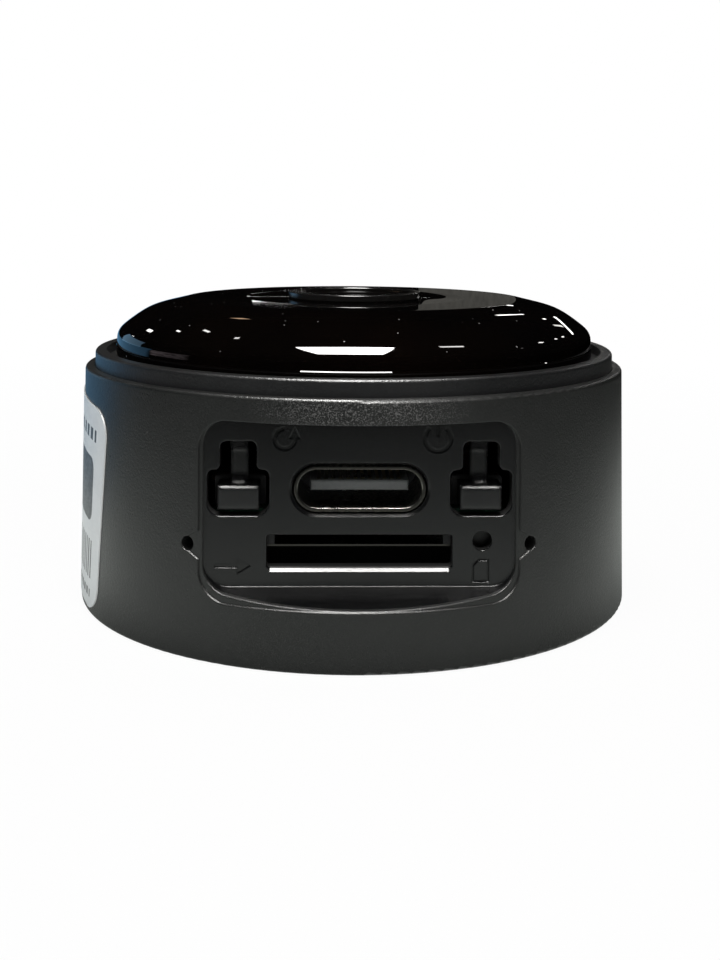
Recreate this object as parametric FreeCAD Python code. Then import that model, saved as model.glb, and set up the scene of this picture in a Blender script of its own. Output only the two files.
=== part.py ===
import FreeCAD, Part
import math
import os
from FreeCAD import Vector

# The camera lies on its flat rear face, on z = 0, with its lens axis along +Z.
# The port panel faces -Y. All sizes are in millimetres and all angles in degrees.

# How far a cut runs past a face, and how near a length counts as nothing
over = 1.0
nearly = 1e-6

# Housing
rim_radius = 21.2
foot_draft = 0.3
side_wall = 1.4
rear_wall = 1.6
foot_edge_radius = 0.3
rim_edge_radius = 0.25
rim_band = 1.7

# Stack on the rear wall, from the magnet up to the main board
magnet_radius = 6.0
magnet_thickness = 1.5
magnet_clearance = 0.1
magnet_edge = 0.2
fence_wall = 0.9
fence_height = 1.2
pad_side = 13.0
pad_thickness = 0.4
battery_side_gap = 6.8
battery_corner_gap = 0.73
battery_thickness = 3.5
battery_corner = 0.8
battery_clearance = 0.1
battery_headroom = 0.32
protection_length = 2.4
protection_height = 1.4
protection_inset = 3.0
protection_edge = 0.3
rail_length = 16.0
rail_width = 2.0
socket_height = 1.6
board_thickness = 1.0
board_edge_gap = 0.5
boss_radius = 1.9
boss_inset = 2.53
boss_angles = (103.4, 180.0, 256.6)
stop_drop = 1.0
board_panel_gap = 0.2

# Board screws
screw_radius = 0.75
screw_length = 5.6
screw_clearance = 0.02
screw_hole_clearance = 0.15
screw_head_radius = 1.4
screw_head_height = 0.9
screw_head_edge = 0.2
screw_hole_extra = 0.3
recess_width = 0.35
recess_depth = 0.45

# Port panel
panel_edge_depth = 0.2
panel_width = 20.94
panel_corner = 1.7
panel_wall = 1.2
panel_above_board = 6.38
panel_below_slot = 1.27
terrace_width = 0.31
terrace_depth = 0.09
sill_angle = 13.8
opening_edge_radius = 0.07
ear_reach = 0.15
ear_spread = 2.2

# Marks engraved in the port panel
engraving_depth = 0.15
engraving_stroke = 0.26
power_mark_inset = 5.26
power_mark_rise = 5.04
power_mark_radius = 1.0
power_mark_gap = 76.0
reset_mark_inset = 5.42
reset_mark_rise = 5.0
reset_mark_radius = 0.8
reset_mark_gap = 90.0
arrow_mark_inset = 0.77
arrow_mark_rise = 0.13
arrow_mark_shaft = 1.5
arrow_mark_length = 2.4
arrow_mark_spread = 0.55
card_mark_drop = 0.2
card_mark_width = 1.15
card_mark_height = 1.6
card_mark_cut = 0.4
card_mark_stroke = 0.13

# USB-C socket
usb_inner_width = 8.34
usb_inner_height = 2.56
usb_metal = 0.3
usb_lip_radius = 0.1
usb_length = 7.35
usb_setback = 0.25
usb_hole_clearance = 0.1
usb_hole_chamfer = 0.165
tongue_width = 6.69
tongue_thickness = 0.7
tongue_setback = 1.1
usb_base_length = 1.6
usb_contact_count = 12
usb_contact_pitch = 0.5
usb_contact_width = 0.25
usb_contact_thickness = 0.05
usb_leg_width = 0.9
usb_leg_clearance = 0.1
usb_base_clearance = 0.02
tongue_edge_radius = 0.15
usb_contact_start = 0.5

# Memory card socket, hanging under the main board
socket_width = 14.0
socket_length = 14.5
socket_gap = 0.18
socket_top = 0.5
socket_side = 1.25
socket_sheet = 0.15
socket_back_wall = 0.6
cover_window_width = 7.0
cover_window_start = 6.0
cover_window_length = 2.0
card_slot_width = 12.48
card_slot_above = 0.48
card_slot_below = 1.1
card_slot_corner = 0.2
card_slot_chamfer = 0.3
card_contact_count = 8
card_contact_pitch = 1.1
card_contact_width = 0.6
card_contact_length = 3.0
card_contact_thickness = 0.1
card_contact_shift = 0.4
slider_width = 0.68
slider_length = 4.0
slider_clearance = 0.07
slider_travel = 0.8
slider_foot = 0.9
slider_foot_reach = 0.6
slider_start = 5.0
slider_end_gap = 0.1
spring_radius = 0.32
spring_wire = 0.06
spring_pitch = 0.34
spring_turns = 12

# Push buttons and their switches
button_inset = 2.32
cap_width = 2.8
cap_height = 1.65
cap_depth = 2.23
cap_edge_radius = 0.22
cap_above_board = 0.18
cap_sunk = 0.03
arm_width = 1.2
arm_thickness = 0.6
arm_straight = 2.1
arm_rise = 1.1
arm_lean = 0.8
arm_start = 0.3
knuckle_radius = 0.35
knuckle_clearance = 0.07
gusset_width = 0.94
gusset_height = 0.4
gusset_depth = 0.75
keyhole_margin = 0.68
keyhole_below = 0.39
keyhole_wide_height = 3.12
keyhole_neck_width = 2.46
keyhole_neck_height = 1.93
keyhole_corner = 0.95
keyhole_shoulder = 0.45
keyhole_neck_corner = 0.35
keyhole_top_corner = 0.45
button_travel = 0.28
switch_width = 3.5
switch_depth = 3.0
switch_height = 2.0
switch_edge_radius = 0.2
plunger_width = 1.5
plunger_height = 0.8
plunger_reach = 0.4
plunger_tail = 1.2
plunger_end_gap = 0.1
plunger_edge_radius = 0.15
plunger_gap = 0.05
plunger_clearance = 0.06

# Indicator holes and what sits behind them
led_hole_radius = 0.66
led_socket_gap = 0.45
led_hole_drop = 0.87
side_hole_radius = 0.475
side_hole_reach = 0.93
side_hole_drop = 1.1
led_width = 1.6
led_height = 1.6
led_depth = 0.8
status_lens_radius = 0.5
status_lens_reach = 0.15
charge_led_inset = 1.2
charge_lens_radius = 0.4
charge_lens_reach = 0.95
microphone_width = 2.8
microphone_length = 1.9
microphone_height = 1.8
microphone_port_radius = 0.25
microphone_edge_radius = 0.2
boot_gap = 0.35
boot_length = 1.0
boot_width = 2.0
boot_height = 1.8
boot_bore_radius = 0.4

# Front bezel
ledge_width = 0.75
bezel_clearance = 0.05
bezel_rise = 1.2
bezel_land = 0.89
bezel_edge_radius = 0.25
groove_width = 0.76
groove_depth = 0.7
bezel_seat_depth = 0.9
skirt_wall = 0.8
skirt_length = 2.9
skirt_clearance = 0.1
skirt_button_gap = 0.4
shelf_width = 1.8
shelf_thickness = 0.8
shelf_drop = 0.4
hook_angles = (70.0, 135.0, 225.0, 290.0)
hook_width = 5.0
hook_reach = 0.4
hook_height = 0.7
hook_clearance = 0.12
hook_lift = 0.3
hook_slit_gap = 0.2
hook_slit_width = 0.4
hook_slit_top = 0.6
stake_angles = (60.0, 180.0, 300.0)
stake_radius = 0.45
stake_inset = 1.0
stake_head_radius = 0.75
stake_head_height = 0.35
stake_clearance = 0.05

# Domed front window
window_clearance = 0.05
window_wall = 1.2
window_side_rise = 0.8
window_lean_rise = 1.15
window_lean_width = 0.68
window_shoulder_rise = 0.85
window_shoulder_width = 1.2
window_slope_rise = 1.1
window_slope_width = 3.5
crease_angle = 14.0
crease_radius = 0.12
window_inside_drop = 0.3
window_inside_bulge = 0.3
window_inside_inset = 0.72
adhesive_thickness = 0.15
adhesive_inset = 0.1

# Lens and its collar
collar_radius = 5.3
collar_rise = 0.48
collar_neck_radius = 4.9
collar_neck_clearance = 0.05
collar_plug = 0.8
collar_mouth_radius = 4.45
collar_throat_radius = 2.7
collar_throat = 0.35
collar_edge_radius = 0.1
barrel_radius = 3.6
barrel_head_radius = 4.2
barrel_gap = 0.2
barrel_bore = 3.1
barrel_lip = 0.35
barrel_foot = 2.9
barrel_head_drop = 0.4
barrel_step = 0.25
barrel_cone = 0.6
barrel_ledge = 0.4
barrel_ledge_height = 0.5
glass_clearance = 0.02
glass_headroom = 0.05
front_glass_thickness = 1.0
front_glass_bulge = 0.45
rear_glass_radius = 2.4
rear_glass_thickness = 1.2
rear_glass_bulge = 0.4
holder_width = 10.0
holder_base_height = 2.7
holder_neck_radius = 4.85
holder_bore_clearance = 0.05
holder_wall = 0.8
holder_roof = 0.9
holder_corner = 0.5
holder_top_gap = 0.1
holder_bore_depth = 0.2
sensor_width = 6.0
sensor_thickness = 1.0
filter_width = 6.4
filter_thickness = 0.3
aperture_width = 4.6

# Infrared board
led_board_thickness = 0.8
led_board_gap = 0.2
led_board_bore = 5.1
led_count = 6
led_circle_inset = 7.8
ir_led_width = 3.0
ir_led_height = 1.4
ir_led_dome = 1.15
ir_led_dome_sink = 0.3
ir_led_dome_overlap = 0.1
light_sensor_width = 2.0
light_sensor_depth = 1.6
light_sensor_height = 0.8
light_sensor_inset = 9.6
seal_wall = 1.2
seal_grip = 0.1
header_pins = 5
header_pitch = 1.27
header_width = 7.0
header_depth = 3.0
header_inset = 8.0
header_height = 2.5
pin_width = 0.4
pin_reach = 2.4
pin_clearance = 0.06
pin_end_gap = 0.2
header_gap = 0.05

# Parts on the main board: width, depth and height
part_edge_gap = 0.6
processor_size = (7.5, 7.5, 0.9)
processor_angle = 141.0
wifi_size = (7.0, 6.0, 1.8)
wifi_angle = 40.0
flash_size = (6.0, 5.0, 0.8)
flash_inset = 8.3
flash_y = -3.0
wifi_can_radius = 0.3
flash_legs = 4
flash_leg_pitch = 1.1
flash_leg_length = 0.5
flash_leg_width = 0.4
flash_leg_height = 0.3
flash_lift = 0.1
chip_places = (
    (-6.6, -7.4), (-6.6, -9.0), (6.6, -7.4), (6.6, -9.0), (-8.4, -7.4), (8.4, -7.4), (-10.2, -7.4),
    (10.2, -7.4), (-6.2, 1.2), (-6.2, 2.6), (6.6, -5.8), (6.6, -4.2), (8.4, -5.8), (-12.8, -8.6),
    (12.8, -8.6), (-12.0, 0.9), (-13.8, 0.9), (6.0, 13.4), (7.8, 13.4))
chip_size = (1.0, 0.5, 0.5)
coil_plug_gap = 3.6
coil_rows = (-1.8, 1.4)
coil_size = (2.5, 2.0, 1.2)
crystal_inset = 3.7
crystal_y = -5.6
crystal_size = (1.6, 3.2, 0.7)
crystal_corner = 0.3

# Antenna and its lead
antenna_thickness = 0.15
antenna_height = 3.5
antenna_lift = 0.4
antenna_start = 62.0
antenna_end = 100.0
plug_radius = 1.0
plug_height = 0.9
plug_inset = 6.7
plug_y = 3.1
lead_radius = 0.35
lead_bend = 1.6
lead_turn_y = -3.0
lead_rise = 0.35
lead_end_gap = 0.05

# Battery leads
wire_radius = 0.4
wire_bend = 1.2
wire_spacing = 1.2
wire_x = -5.6
wire_wall_gap = 0.5
wire_notch_side = 0.5
wire_notch_back = 0.3
connector_width = 3.4
connector_depth = 3.2
connector_height = 2.4
connector_wire_run = 1.66
connector_corner = 0.2

# Sticker on the left side
label_thickness = 0.08
label_width = 21.75
label_height = 15.1
label_middle = 8.85
label_corner = 2.0
label_tilt = 5.0

# Heights and radii that follow from the sizes above
cavity_radius = rim_radius - side_wall
battery_width = 2 * (cavity_radius - battery_side_gap)
battery_reach = math.sqrt((cavity_radius - battery_corner_gap) ** 2 - (battery_width / 2) ** 2)
battery_length = 2 * battery_reach - protection_length
magnet_top = rear_wall + magnet_thickness
battery_bottom = magnet_top + pad_thickness
battery_top = battery_bottom + battery_thickness
socket_bottom = battery_top + battery_headroom
board_bottom = socket_bottom + socket_height
board_top = board_bottom + board_thickness
usb_width = usb_inner_width + 2 * usb_metal
usb_height = usb_inner_height + 2 * usb_metal
usb_centre = board_top + usb_height / 2
slot_top = board_bottom - card_slot_above
slot_bottom = socket_bottom - card_slot_below
panel_bottom = slot_bottom - panel_below_slot
panel_top = board_top + panel_above_board
panel_y = panel_edge_depth - math.sqrt(rim_radius ** 2 - (panel_width / 2) ** 2)
panel_depth = rim_radius + panel_y
button_offset = panel_width / 2 - button_inset
led_hole_x = socket_width / 2 + led_width / 2 + led_socket_gap
panel_back = panel_y + panel_wall
housing_height = panel_top + rim_band
foot_radius = rim_radius + foot_draft
outside = foot_radius + 2 * over

bezel_radius = rim_radius - ledge_width
rebate_radius = bezel_radius + bezel_clearance
seat_z = housing_height - bezel_seat_depth
bezel_top = housing_height + bezel_rise
groove_floor = bezel_top - groove_depth
groove_radius = bezel_radius - bezel_land
window_radius = groove_radius - groove_width
bore_radius = window_radius + window_clearance
skirt_radius = cavity_radius - skirt_clearance
shelf_radius = window_radius - shelf_width
shelf_top = seat_z + shelf_drop
shelf_bottom = shelf_top - shelf_thickness
skirt_bottom = shelf_top - skirt_length
window_bottom = shelf_top + adhesive_thickness

side_top = bezel_top + window_side_rise
lean_top = side_top + window_lean_rise
shoulder_top = lean_top + window_shoulder_rise
window_top = shoulder_top + window_slope_rise
lean_radius = window_radius - window_lean_width
shoulder_radius = lean_radius - window_shoulder_width
flat_radius = shoulder_radius - window_slope_width
ceiling_z = window_top - window_wall

board_radius = cavity_radius - board_edge_gap
board_front = panel_back + board_panel_gap
header_y = board_radius - header_inset
led_board_top = shelf_bottom
led_board_bottom = led_board_top - led_board_thickness
led_board_radius = cavity_radius - skirt_clearance - skirt_wall - led_board_gap
led_circle = window_radius - led_circle_inset
collar_bottom = window_top - collar_plug
barrel_top = collar_bottom - barrel_gap
socket_front = panel_back + socket_gap
cap_bottom = board_top + cap_above_board
cap_top = cap_bottom + cap_height
cap_back = panel_y + cap_sunk + cap_depth
arm_front = cap_back - arm_thickness
pivot_y = arm_front - arm_lean
pivot_z = cap_top + arm_straight + arm_rise
plunger_z = cap_bottom + cap_height / 2


def box(x_low, x_high, y_low, y_high, z_low, z_high):
    size = (x_high - x_low, y_high - y_low, z_high - z_low)
    return Part.makeBox(*size, Vector(x_low, y_low, z_low))


def block(x, y, width, depth, z_low, height):
    """A box centred on x and y."""
    return box(x - width / 2, x + width / 2, y - depth / 2, y + depth / 2, z_low, z_low + height)


def post(x, y, z_low, z_high, radius):
    return Part.makeCylinder(radius, z_high - z_low, Vector(x, y, z_low))


def pipe(outer, inner, z_low, z_high):
    return post(0, 0, z_low, z_high, outer).cut(post(0, 0, z_low - over, z_high + over, inner))


def peg_y(x, z, radius, y_low, y_high):
    """A round bar along Y."""
    return Part.makeCylinder(radius, y_high - y_low, Vector(x, y_low, z), Vector(0, 1, 0))


def line(a, b):
    return Part.LineSegment(Vector(*a), Vector(*b)).toShape()


def arc(a, middle, b):
    return Part.Arc(Vector(*a), Vector(*middle), Vector(*b)).toShape()


def turned(points):
    """The solid swept round the lens axis by a closed outline of (radius, z) points."""
    corners = [Vector(r, 0, z) for r, z in points]
    return Part.Face(Part.makePolygon(corners + corners[:1])).revolve(Vector(0, 0, 0), Vector(0, 0, 1), 360)


def prism(points, y_low, y_high):
    """A solid along Y from a closed outline of (x, z) points."""
    corners = [Vector(x, y_low, z) for x, z in points]
    return Part.Face(Part.makePolygon(corners + corners[:1])).extrude(Vector(0, y_high - y_low, 0))


def rounded_outline(x, z, width, height, corner, y):
    """A rounded rectangle, or a slot with round ends, in the plane of one y."""
    w = width / 2
    h = height / 2
    r = min(corner, w, h)
    s = r * (1 - math.sqrt(0.5))
    edges = []
    for turn in range(4):
        a, b = ((w, h), (h, w), (w, h), (h, w))[turn]
        corners = [(a, b - r), (a - s, b - s), (a - r, b)]
        if b - r > nearly:
            corners.insert(0, (a, r - b))
        angle = math.radians(90 * turn)
        placed = []
        for u, v in corners:
            px = u * math.cos(angle) - v * math.sin(angle)
            pz = u * math.sin(angle) + v * math.cos(angle)
            placed.append((x + px, y, z + pz))
        if len(placed) == 4:
            edges.append(line(placed[0], placed[1]))
        edges.append(arc(*placed[-3:]))
    return Part.Wire(edges)


def rounded_bar(x, z, width, height, corner, y_low, y_high):
    """A rounded rectangle carried along Y."""
    face = Part.Face(rounded_outline(x, z, width, height, corner, y_low))
    return face.extrude(Vector(0, y_high - y_low, 0))


def about_axis(shape, angle):
    """Turns a shape made at the port side round the lens axis, towards +X for a positive angle."""
    turned_shape = shape.copy()
    turned_shape.rotate(Vector(0, 0, 0), Vector(0, 0, 1), angle)
    return turned_shape


def edges_where(shape, wanted):
    """The edges whose bounding box passes the test."""
    return [edge for edge in shape.Edges if wanted(edge.BoundBox)]


def upright_edges(shape):
    return edges_where(shape, lambda b: b.XLength < nearly and b.YLength < nearly and b.ZLength > nearly)


def group(shapes):
    return Part.makeCompound(shapes)


def outer_radius(z):
    """The housing's outside radius at a height: it widens towards the foot."""
    return rim_radius + foot_draft * (1 - z / housing_height)


def boss_places():
    circle = cavity_radius - boss_inset
    for angle in boss_angles:
        a = math.radians(angle)
        yield circle * math.sin(a), -circle * math.cos(a)


def housing_blank():
    """The drafted cup before its pocket and openings: outside, cavity and the bezel's rebate."""
    body = turned([(0, 0), (foot_radius, 0), (rim_radius, housing_height), (0, housing_height)])
    foot = edges_where(body, lambda b: b.ZMax < nearly and b.XLength > foot_radius)
    body = body.makeFillet(foot_edge_radius, foot)
    rim = edges_where(body, lambda b: b.ZMin > housing_height - nearly and b.XLength > rim_radius)
    body = body.makeFillet(rim_edge_radius, rim)
    cavity = post(0, 0, rear_wall, housing_height + over, cavity_radius)
    cavity = cavity.cut(box(-outside, outside, -outside, panel_back, 0, seat_z))
    return body.cut(cavity).cut(post(0, 0, seat_z, housing_height + over, rebate_radius))


def panel_pocket():
    """The sunken port panel: a flat floor, a sill that slopes out below it and a shallow step round it."""
    height = panel_top - panel_bottom
    middle = panel_bottom + height / 2
    slope = math.tan(math.radians(sill_angle))
    drop = slope * (outside + panel_y)
    near = rounded_outline(0, middle, panel_width, height, panel_corner, panel_y)
    far = rounded_outline(0, middle - drop / 2, panel_width, height + drop, panel_corner, -outside)
    pocket = Part.makeLoft([near, far], True, True)
    step_bottom = panel_bottom - slope * panel_depth - terrace_depth
    step_height = panel_top - step_bottom
    step = rounded_bar(0, step_bottom + step_height / 2, panel_width + 2 * terrace_width, step_height,
                       panel_corner + terrace_width, -outside, panel_y)
    return pocket.fuse(step.cut(sunk_side_wall()))


def sunk_side_wall():
    """The outside of the housing, sunk by the depth of the step round the port panel."""
    return turned([(0, 0), (foot_radius - terrace_depth, 0), (rim_radius - terrace_depth, housing_height),
                   (0, housing_height)])


def keyhole(side):
    """The opening of one button: wide round the cap, with a neck for the arm above it."""
    x = side * button_offset
    wide = cap_width / 2 + keyhole_margin
    neck = keyhole_neck_width / 2
    low = cap_bottom - keyhole_below
    shoulder = low + keyhole_wide_height
    top = shoulder + keyhole_neck_height
    points = [(x - wide, low), (x + wide, low), (x + wide, shoulder), (x + neck, shoulder)]
    points += [(x + neck, top), (x - neck, top), (x - neck, shoulder), (x - wide, shoulder)]
    cut = prism(points, panel_y - over, panel_back + over)

    def corners(dx, z):
        return edges_where(cut, lambda b: b.YLength > 0.5 and b.XLength < nearly and b.ZLength < nearly
                           and abs(abs(b.XMin - x) - dx) < 1e-3 and abs(b.ZMin - z) < 1e-3)

    for dx, z, radius in ((wide, low, keyhole_corner), (wide, shoulder, keyhole_shoulder),
                          (neck, shoulder, keyhole_neck_corner), (neck, top, keyhole_top_corner)):
        cut = cut.makeFillet(radius, corners(dx, z))
    return cut


def knuckle_seat(side):
    """The round seat behind the panel in which the root of a button arm turns."""
    width = arm_width / 2 + knuckle_clearance
    seat = Part.makeCylinder(knuckle_radius + knuckle_clearance, 2 * width,
                             Vector(side * button_offset - width, pivot_y, pivot_z), Vector(1, 0, 0))
    return seat


def usb_opening():
    width = usb_width + 2 * usb_hole_clearance
    height = usb_height + 2 * usb_hole_clearance
    hole = rounded_bar(0, usb_centre, width, height, height, panel_y - over, panel_back + over)
    grown = 2 * usb_hole_chamfer
    near = rounded_outline(0, usb_centre, width, height, height, panel_y + usb_hole_chamfer)
    far = rounded_outline(0, usb_centre, width + grown, height + grown, height + grown, panel_y)
    return hole.fuse(Part.makeLoft([near, far], True, True))


def card_opening():
    """The card slot, with a bevel along its lower edge."""
    height = slot_top - slot_bottom
    slot = rounded_bar(0, slot_bottom + height / 2, card_slot_width, height, card_slot_corner,
                       panel_y - over, panel_back + over)
    half = card_slot_width / 2 - card_slot_corner
    bevel = Part.Face(Part.makePolygon([Vector(-half, panel_y, slot_bottom - card_slot_chamfer),
                                        Vector(-half, panel_y, slot_bottom + 0.01),
                                        Vector(-half, panel_y + card_slot_chamfer, slot_bottom + 0.01),
                                        Vector(-half, panel_y, slot_bottom - card_slot_chamfer)]))
    return slot.fuse(bevel.extrude(Vector(2 * half, 0, 0)))


def side_hole_angle():
    """How far round the side wall the small holes lie from the middle of the port side."""
    radius = outer_radius(board_bottom - side_hole_drop)
    return math.degrees(math.asin((panel_width / 2 + terrace_width) / radius) + side_hole_reach / radius)


def side_hole(side):
    """A small round hole in the side wall, and the flat ear that joins it to the pocket's rim."""
    z = board_bottom - side_hole_drop
    radius = outer_radius(z)
    hole = peg_y(0, z, side_hole_radius, -outside, over - cavity_radius)
    tall = ear_spread * side_hole_radius
    root = -side_hole_reach - ear_reach
    points = [(root, z - tall), (0, z - side_hole_radius), (0, z + side_hole_radius), (root, z + tall)]
    ear = prism([(side * x, height) for x, height in points], -outside, over - radius)
    angle = side * side_hole_angle()
    return about_axis(hole, angle).fuse(about_axis(ear, angle).cut(sunk_side_wall()))


def ring_mark(x, z, radius, gap_angle, gap_width):
    """An engraved open ring; the gap is a wedge of the given width turned to the given angle."""
    y = panel_y - 1
    ring = peg_y(x, z, radius, y, panel_y + engraving_depth)
    ring = ring.cut(peg_y(x, z, radius - engraving_stroke, y - over, panel_y + over))
    half = math.radians(gap_width / 2)
    reach = 2 * radius
    corners = [(x, z)]
    for a in (math.radians(gap_angle) - half, math.radians(gap_angle) + half):
        corners.append((x + reach * math.cos(a), z + reach * math.sin(a)))
    return ring.cut(prism(corners, y - over, panel_y + over))


def power_mark():
    """The plain on and off symbol beside the power button."""
    x = panel_width / 2 - power_mark_inset
    z = board_top + power_mark_rise
    stroke = engraving_stroke / 2
    top = z + power_mark_radius
    bar = box(x - stroke, x + stroke, panel_y - over, panel_y + engraving_depth, z + stroke, top)
    return ring_mark(x, z, power_mark_radius, 90, power_mark_gap).fuse(bar)


def reset_mark():
    """An open ring with an arrow head, beside the reset button."""
    x = reset_mark_inset - panel_width / 2
    z = board_top + reset_mark_rise
    middle = reset_mark_radius - engraving_stroke / 2
    tip = engraving_stroke * 1.5
    head = [(x + middle - tip, z), (x + middle + tip, z), (x + middle, z + 2 * tip)]
    ring = ring_mark(x, z, reset_mark_radius, reset_mark_gap / 2, reset_mark_gap)
    return ring.fuse(prism(head, panel_y - over, panel_y + engraving_depth))


def insert_mark():
    """An arrow that points into the card slot."""
    z = slot_bottom + arrow_mark_rise
    x = arrow_mark_inset - panel_width / 2
    neck = x + arrow_mark_shaft
    stroke = engraving_stroke / 2
    head = arrow_mark_spread
    points = [(x, z - stroke), (neck, z - stroke), (neck, z - head), (x + arrow_mark_length, z),
              (neck, z + head), (neck, z + stroke), (x, z + stroke)]
    return prism(points, panel_y - over, panel_y + engraving_depth)


def card_mark():
    """The outline of a plain memory card with one cut corner."""
    x = button_offset
    z = slot_bottom - card_mark_drop
    stroke = card_mark_stroke

    def card(w, h, c):
        return [(x - w, z - h), (x + w, z - h), (x + w, z + h), (x - w + c, z + h), (x - w, z + h - c)]

    half_w = card_mark_width / 2
    half_h = card_mark_height / 2
    outline = prism(card(half_w, half_h, card_mark_cut), panel_y - over, panel_y + engraving_depth)
    core = prism(card(half_w - stroke, half_h - stroke, card_mark_cut - stroke / 2), panel_y - 2 * over,
                 panel_y + over)
    return outline.cut(core)


def hook_pocket(angle):
    """The undercut in the side wall that a bezel hook snaps into."""
    width = hook_width / 2 + hook_clearance
    low = skirt_bottom + hook_lift - hook_clearance
    high = low + hook_height + 2 * hook_clearance
    reach = cavity_radius + hook_reach
    return about_axis(box(-width, width, -reach, -cavity_radius + over, low, high), angle)


def housing():
    body = housing_blank()
    supports = []
    for x, y in boss_places():
        supports.append(post(x, y, rear_wall, board_bottom, boss_radius))
    fence = magnet_radius + magnet_clearance
    ring = pipe(fence + fence_wall, fence, rear_wall, rear_wall + fence_height)
    supports.append(ring)
    half = battery_width / 2
    for side in (-1, 1):
        rail = sorted((side * (half - rail_width), side * (half + battery_clearance)))
        stop = sorted((side * (half + battery_clearance), side * (half + battery_clearance + fence_wall)))
        reach = rail_length / 2
        supports.append(box(rail[0], rail[1], -reach, reach, rear_wall, battery_bottom))
        supports.append(box(stop[0], stop[1], -reach, reach, rear_wall, battery_top - stop_drop))
    for support in supports:
        body = body.fuse(support)
    for x, y in boss_places():
        depth = board_top - screw_length - screw_hole_extra
        body = body.cut(post(x, y, depth, board_bottom + over, screw_radius + screw_clearance))
    led_z = board_bottom - led_hole_drop
    body = body.cut(panel_pocket())
    for opening in (keyhole(-1), keyhole(1), card_opening()):
        body = body.cut(opening)
        b = opening.BoundBox
        edges = edges_where(body, lambda e: e.YLength < nearly and abs(e.YMin - panel_y) < 1e-3
                            and e.XMin > b.XMin - 0.05 and e.XMax < b.XMax + 0.05
                            and e.ZMin > b.ZMin - 0.05 and e.ZMax < b.ZMax + 0.05)
        body = body.makeFillet(opening_edge_radius, edges)
    cuts = [usb_opening()]
    cuts.append(peg_y(led_hole_x, led_z, led_hole_radius, panel_y - over, panel_back + over))
    for side in (-1, 1):
        cuts += [knuckle_seat(side), side_hole(side)]
    cuts += [hook_pocket(angle) for angle in hook_angles]
    cuts += [power_mark(), reset_mark(), insert_mark(), card_mark()]
    for cut in cuts:
        body = body.cut(cut)
    return body.removeSplitter()


def side_label():
    """The sticker: a thin skin on the drafted side wall, cut to a rounded rectangle."""
    thick = label_thickness
    skin = turned([(foot_radius, 0), (foot_radius + thick, 0), (rim_radius + thick, housing_height),
                   (rim_radius, housing_height)])
    window = rounded_bar(0, label_middle, label_width, label_height, label_corner, -outside, -2)
    window.rotate(Vector(0, 0, label_middle), Vector(0, 1, 0), label_tilt)
    return skin.common(about_axis(window, -90))


def front_bezel():
    """The ring on the ledge, its skirt with snap hooks, and the shelf that carries window and board."""
    inner = cavity_radius - skirt_clearance - skirt_wall
    low = skirt_bottom
    ring = turned([(bezel_radius, seat_z), (bezel_radius, bezel_top), (groove_radius, bezel_top),
                   (groove_radius, groove_floor), (bore_radius, groove_floor), (bore_radius, shelf_top),
                   (shelf_radius, shelf_top), (shelf_radius, shelf_bottom), (inner, shelf_bottom),
                   (inner, low), (skirt_radius, low), (skirt_radius, seat_z)])
    rounded = edges_where(ring, lambda b: b.ZMin > bezel_top - nearly)
    ring = ring.makeFillet(bezel_edge_radius, [e for e in rounded if e.BoundBox.XMax > bezel_radius - 1e-3])
    for angle in hook_angles:
        half = hook_width / 2
        z = low + hook_lift
        nose = skirt_radius + hook_reach
        hook = prism([(0, z), (nose - inner, z + hook_height / 2), (nose - inner, z + hook_height),
                      (0, z + hook_height)], -half, half)
        hook.rotate(Vector(0, 0, 0), Vector(0, 0, 1), -90)
        hook.translate(Vector(0, -inner - skirt_wall / 2, 0))
        hook = hook.common(post(0, 0, z, z + hook_height, nose))
        ring = ring.fuse(about_axis(hook, angle))
        for edge in (-1, 1):
            x = edge * (half + hook_slit_gap + hook_slit_width / 2)
            slit = box(x - hook_slit_width / 2, x + hook_slit_width / 2, -outside, over - inner,
                       low - over, seat_z - hook_slit_top)
            ring = ring.cut(about_axis(slit, angle))
    circle = window_radius - stake_inset
    for angle in stake_angles:
        a = math.radians(angle)
        x, y = circle * math.sin(a), -circle * math.cos(a)
        ring = ring.fuse(post(x, y, led_board_bottom, shelf_bottom, stake_radius))
        head = post(x, y, led_board_bottom - stake_head_height, led_board_bottom, stake_head_radius)
        ring = ring.fuse(head)
    ring = ring.cut(box(-outside, outside, -outside, cap_back + skirt_button_gap, 0, shelf_bottom))
    return ring.cut(box(-outside, outside, -outside, board_front, 0, seat_z)).removeSplitter()


def window_arc(a, b, bulge):
    """An arc between two (radius, z) points that bulges outwards by the given amount."""
    dx, dz = b[0] - a[0], b[1] - a[1]
    length = math.hypot(dx, dz)
    middle = ((a[0] + b[0]) / 2 + bulge * dz / length, (a[1] + b[1]) / 2 - bulge * dx / length)
    return arc((a[0], 0, a[1]), (middle[0], 0, middle[1]), (b[0], 0, b[1]))


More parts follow.
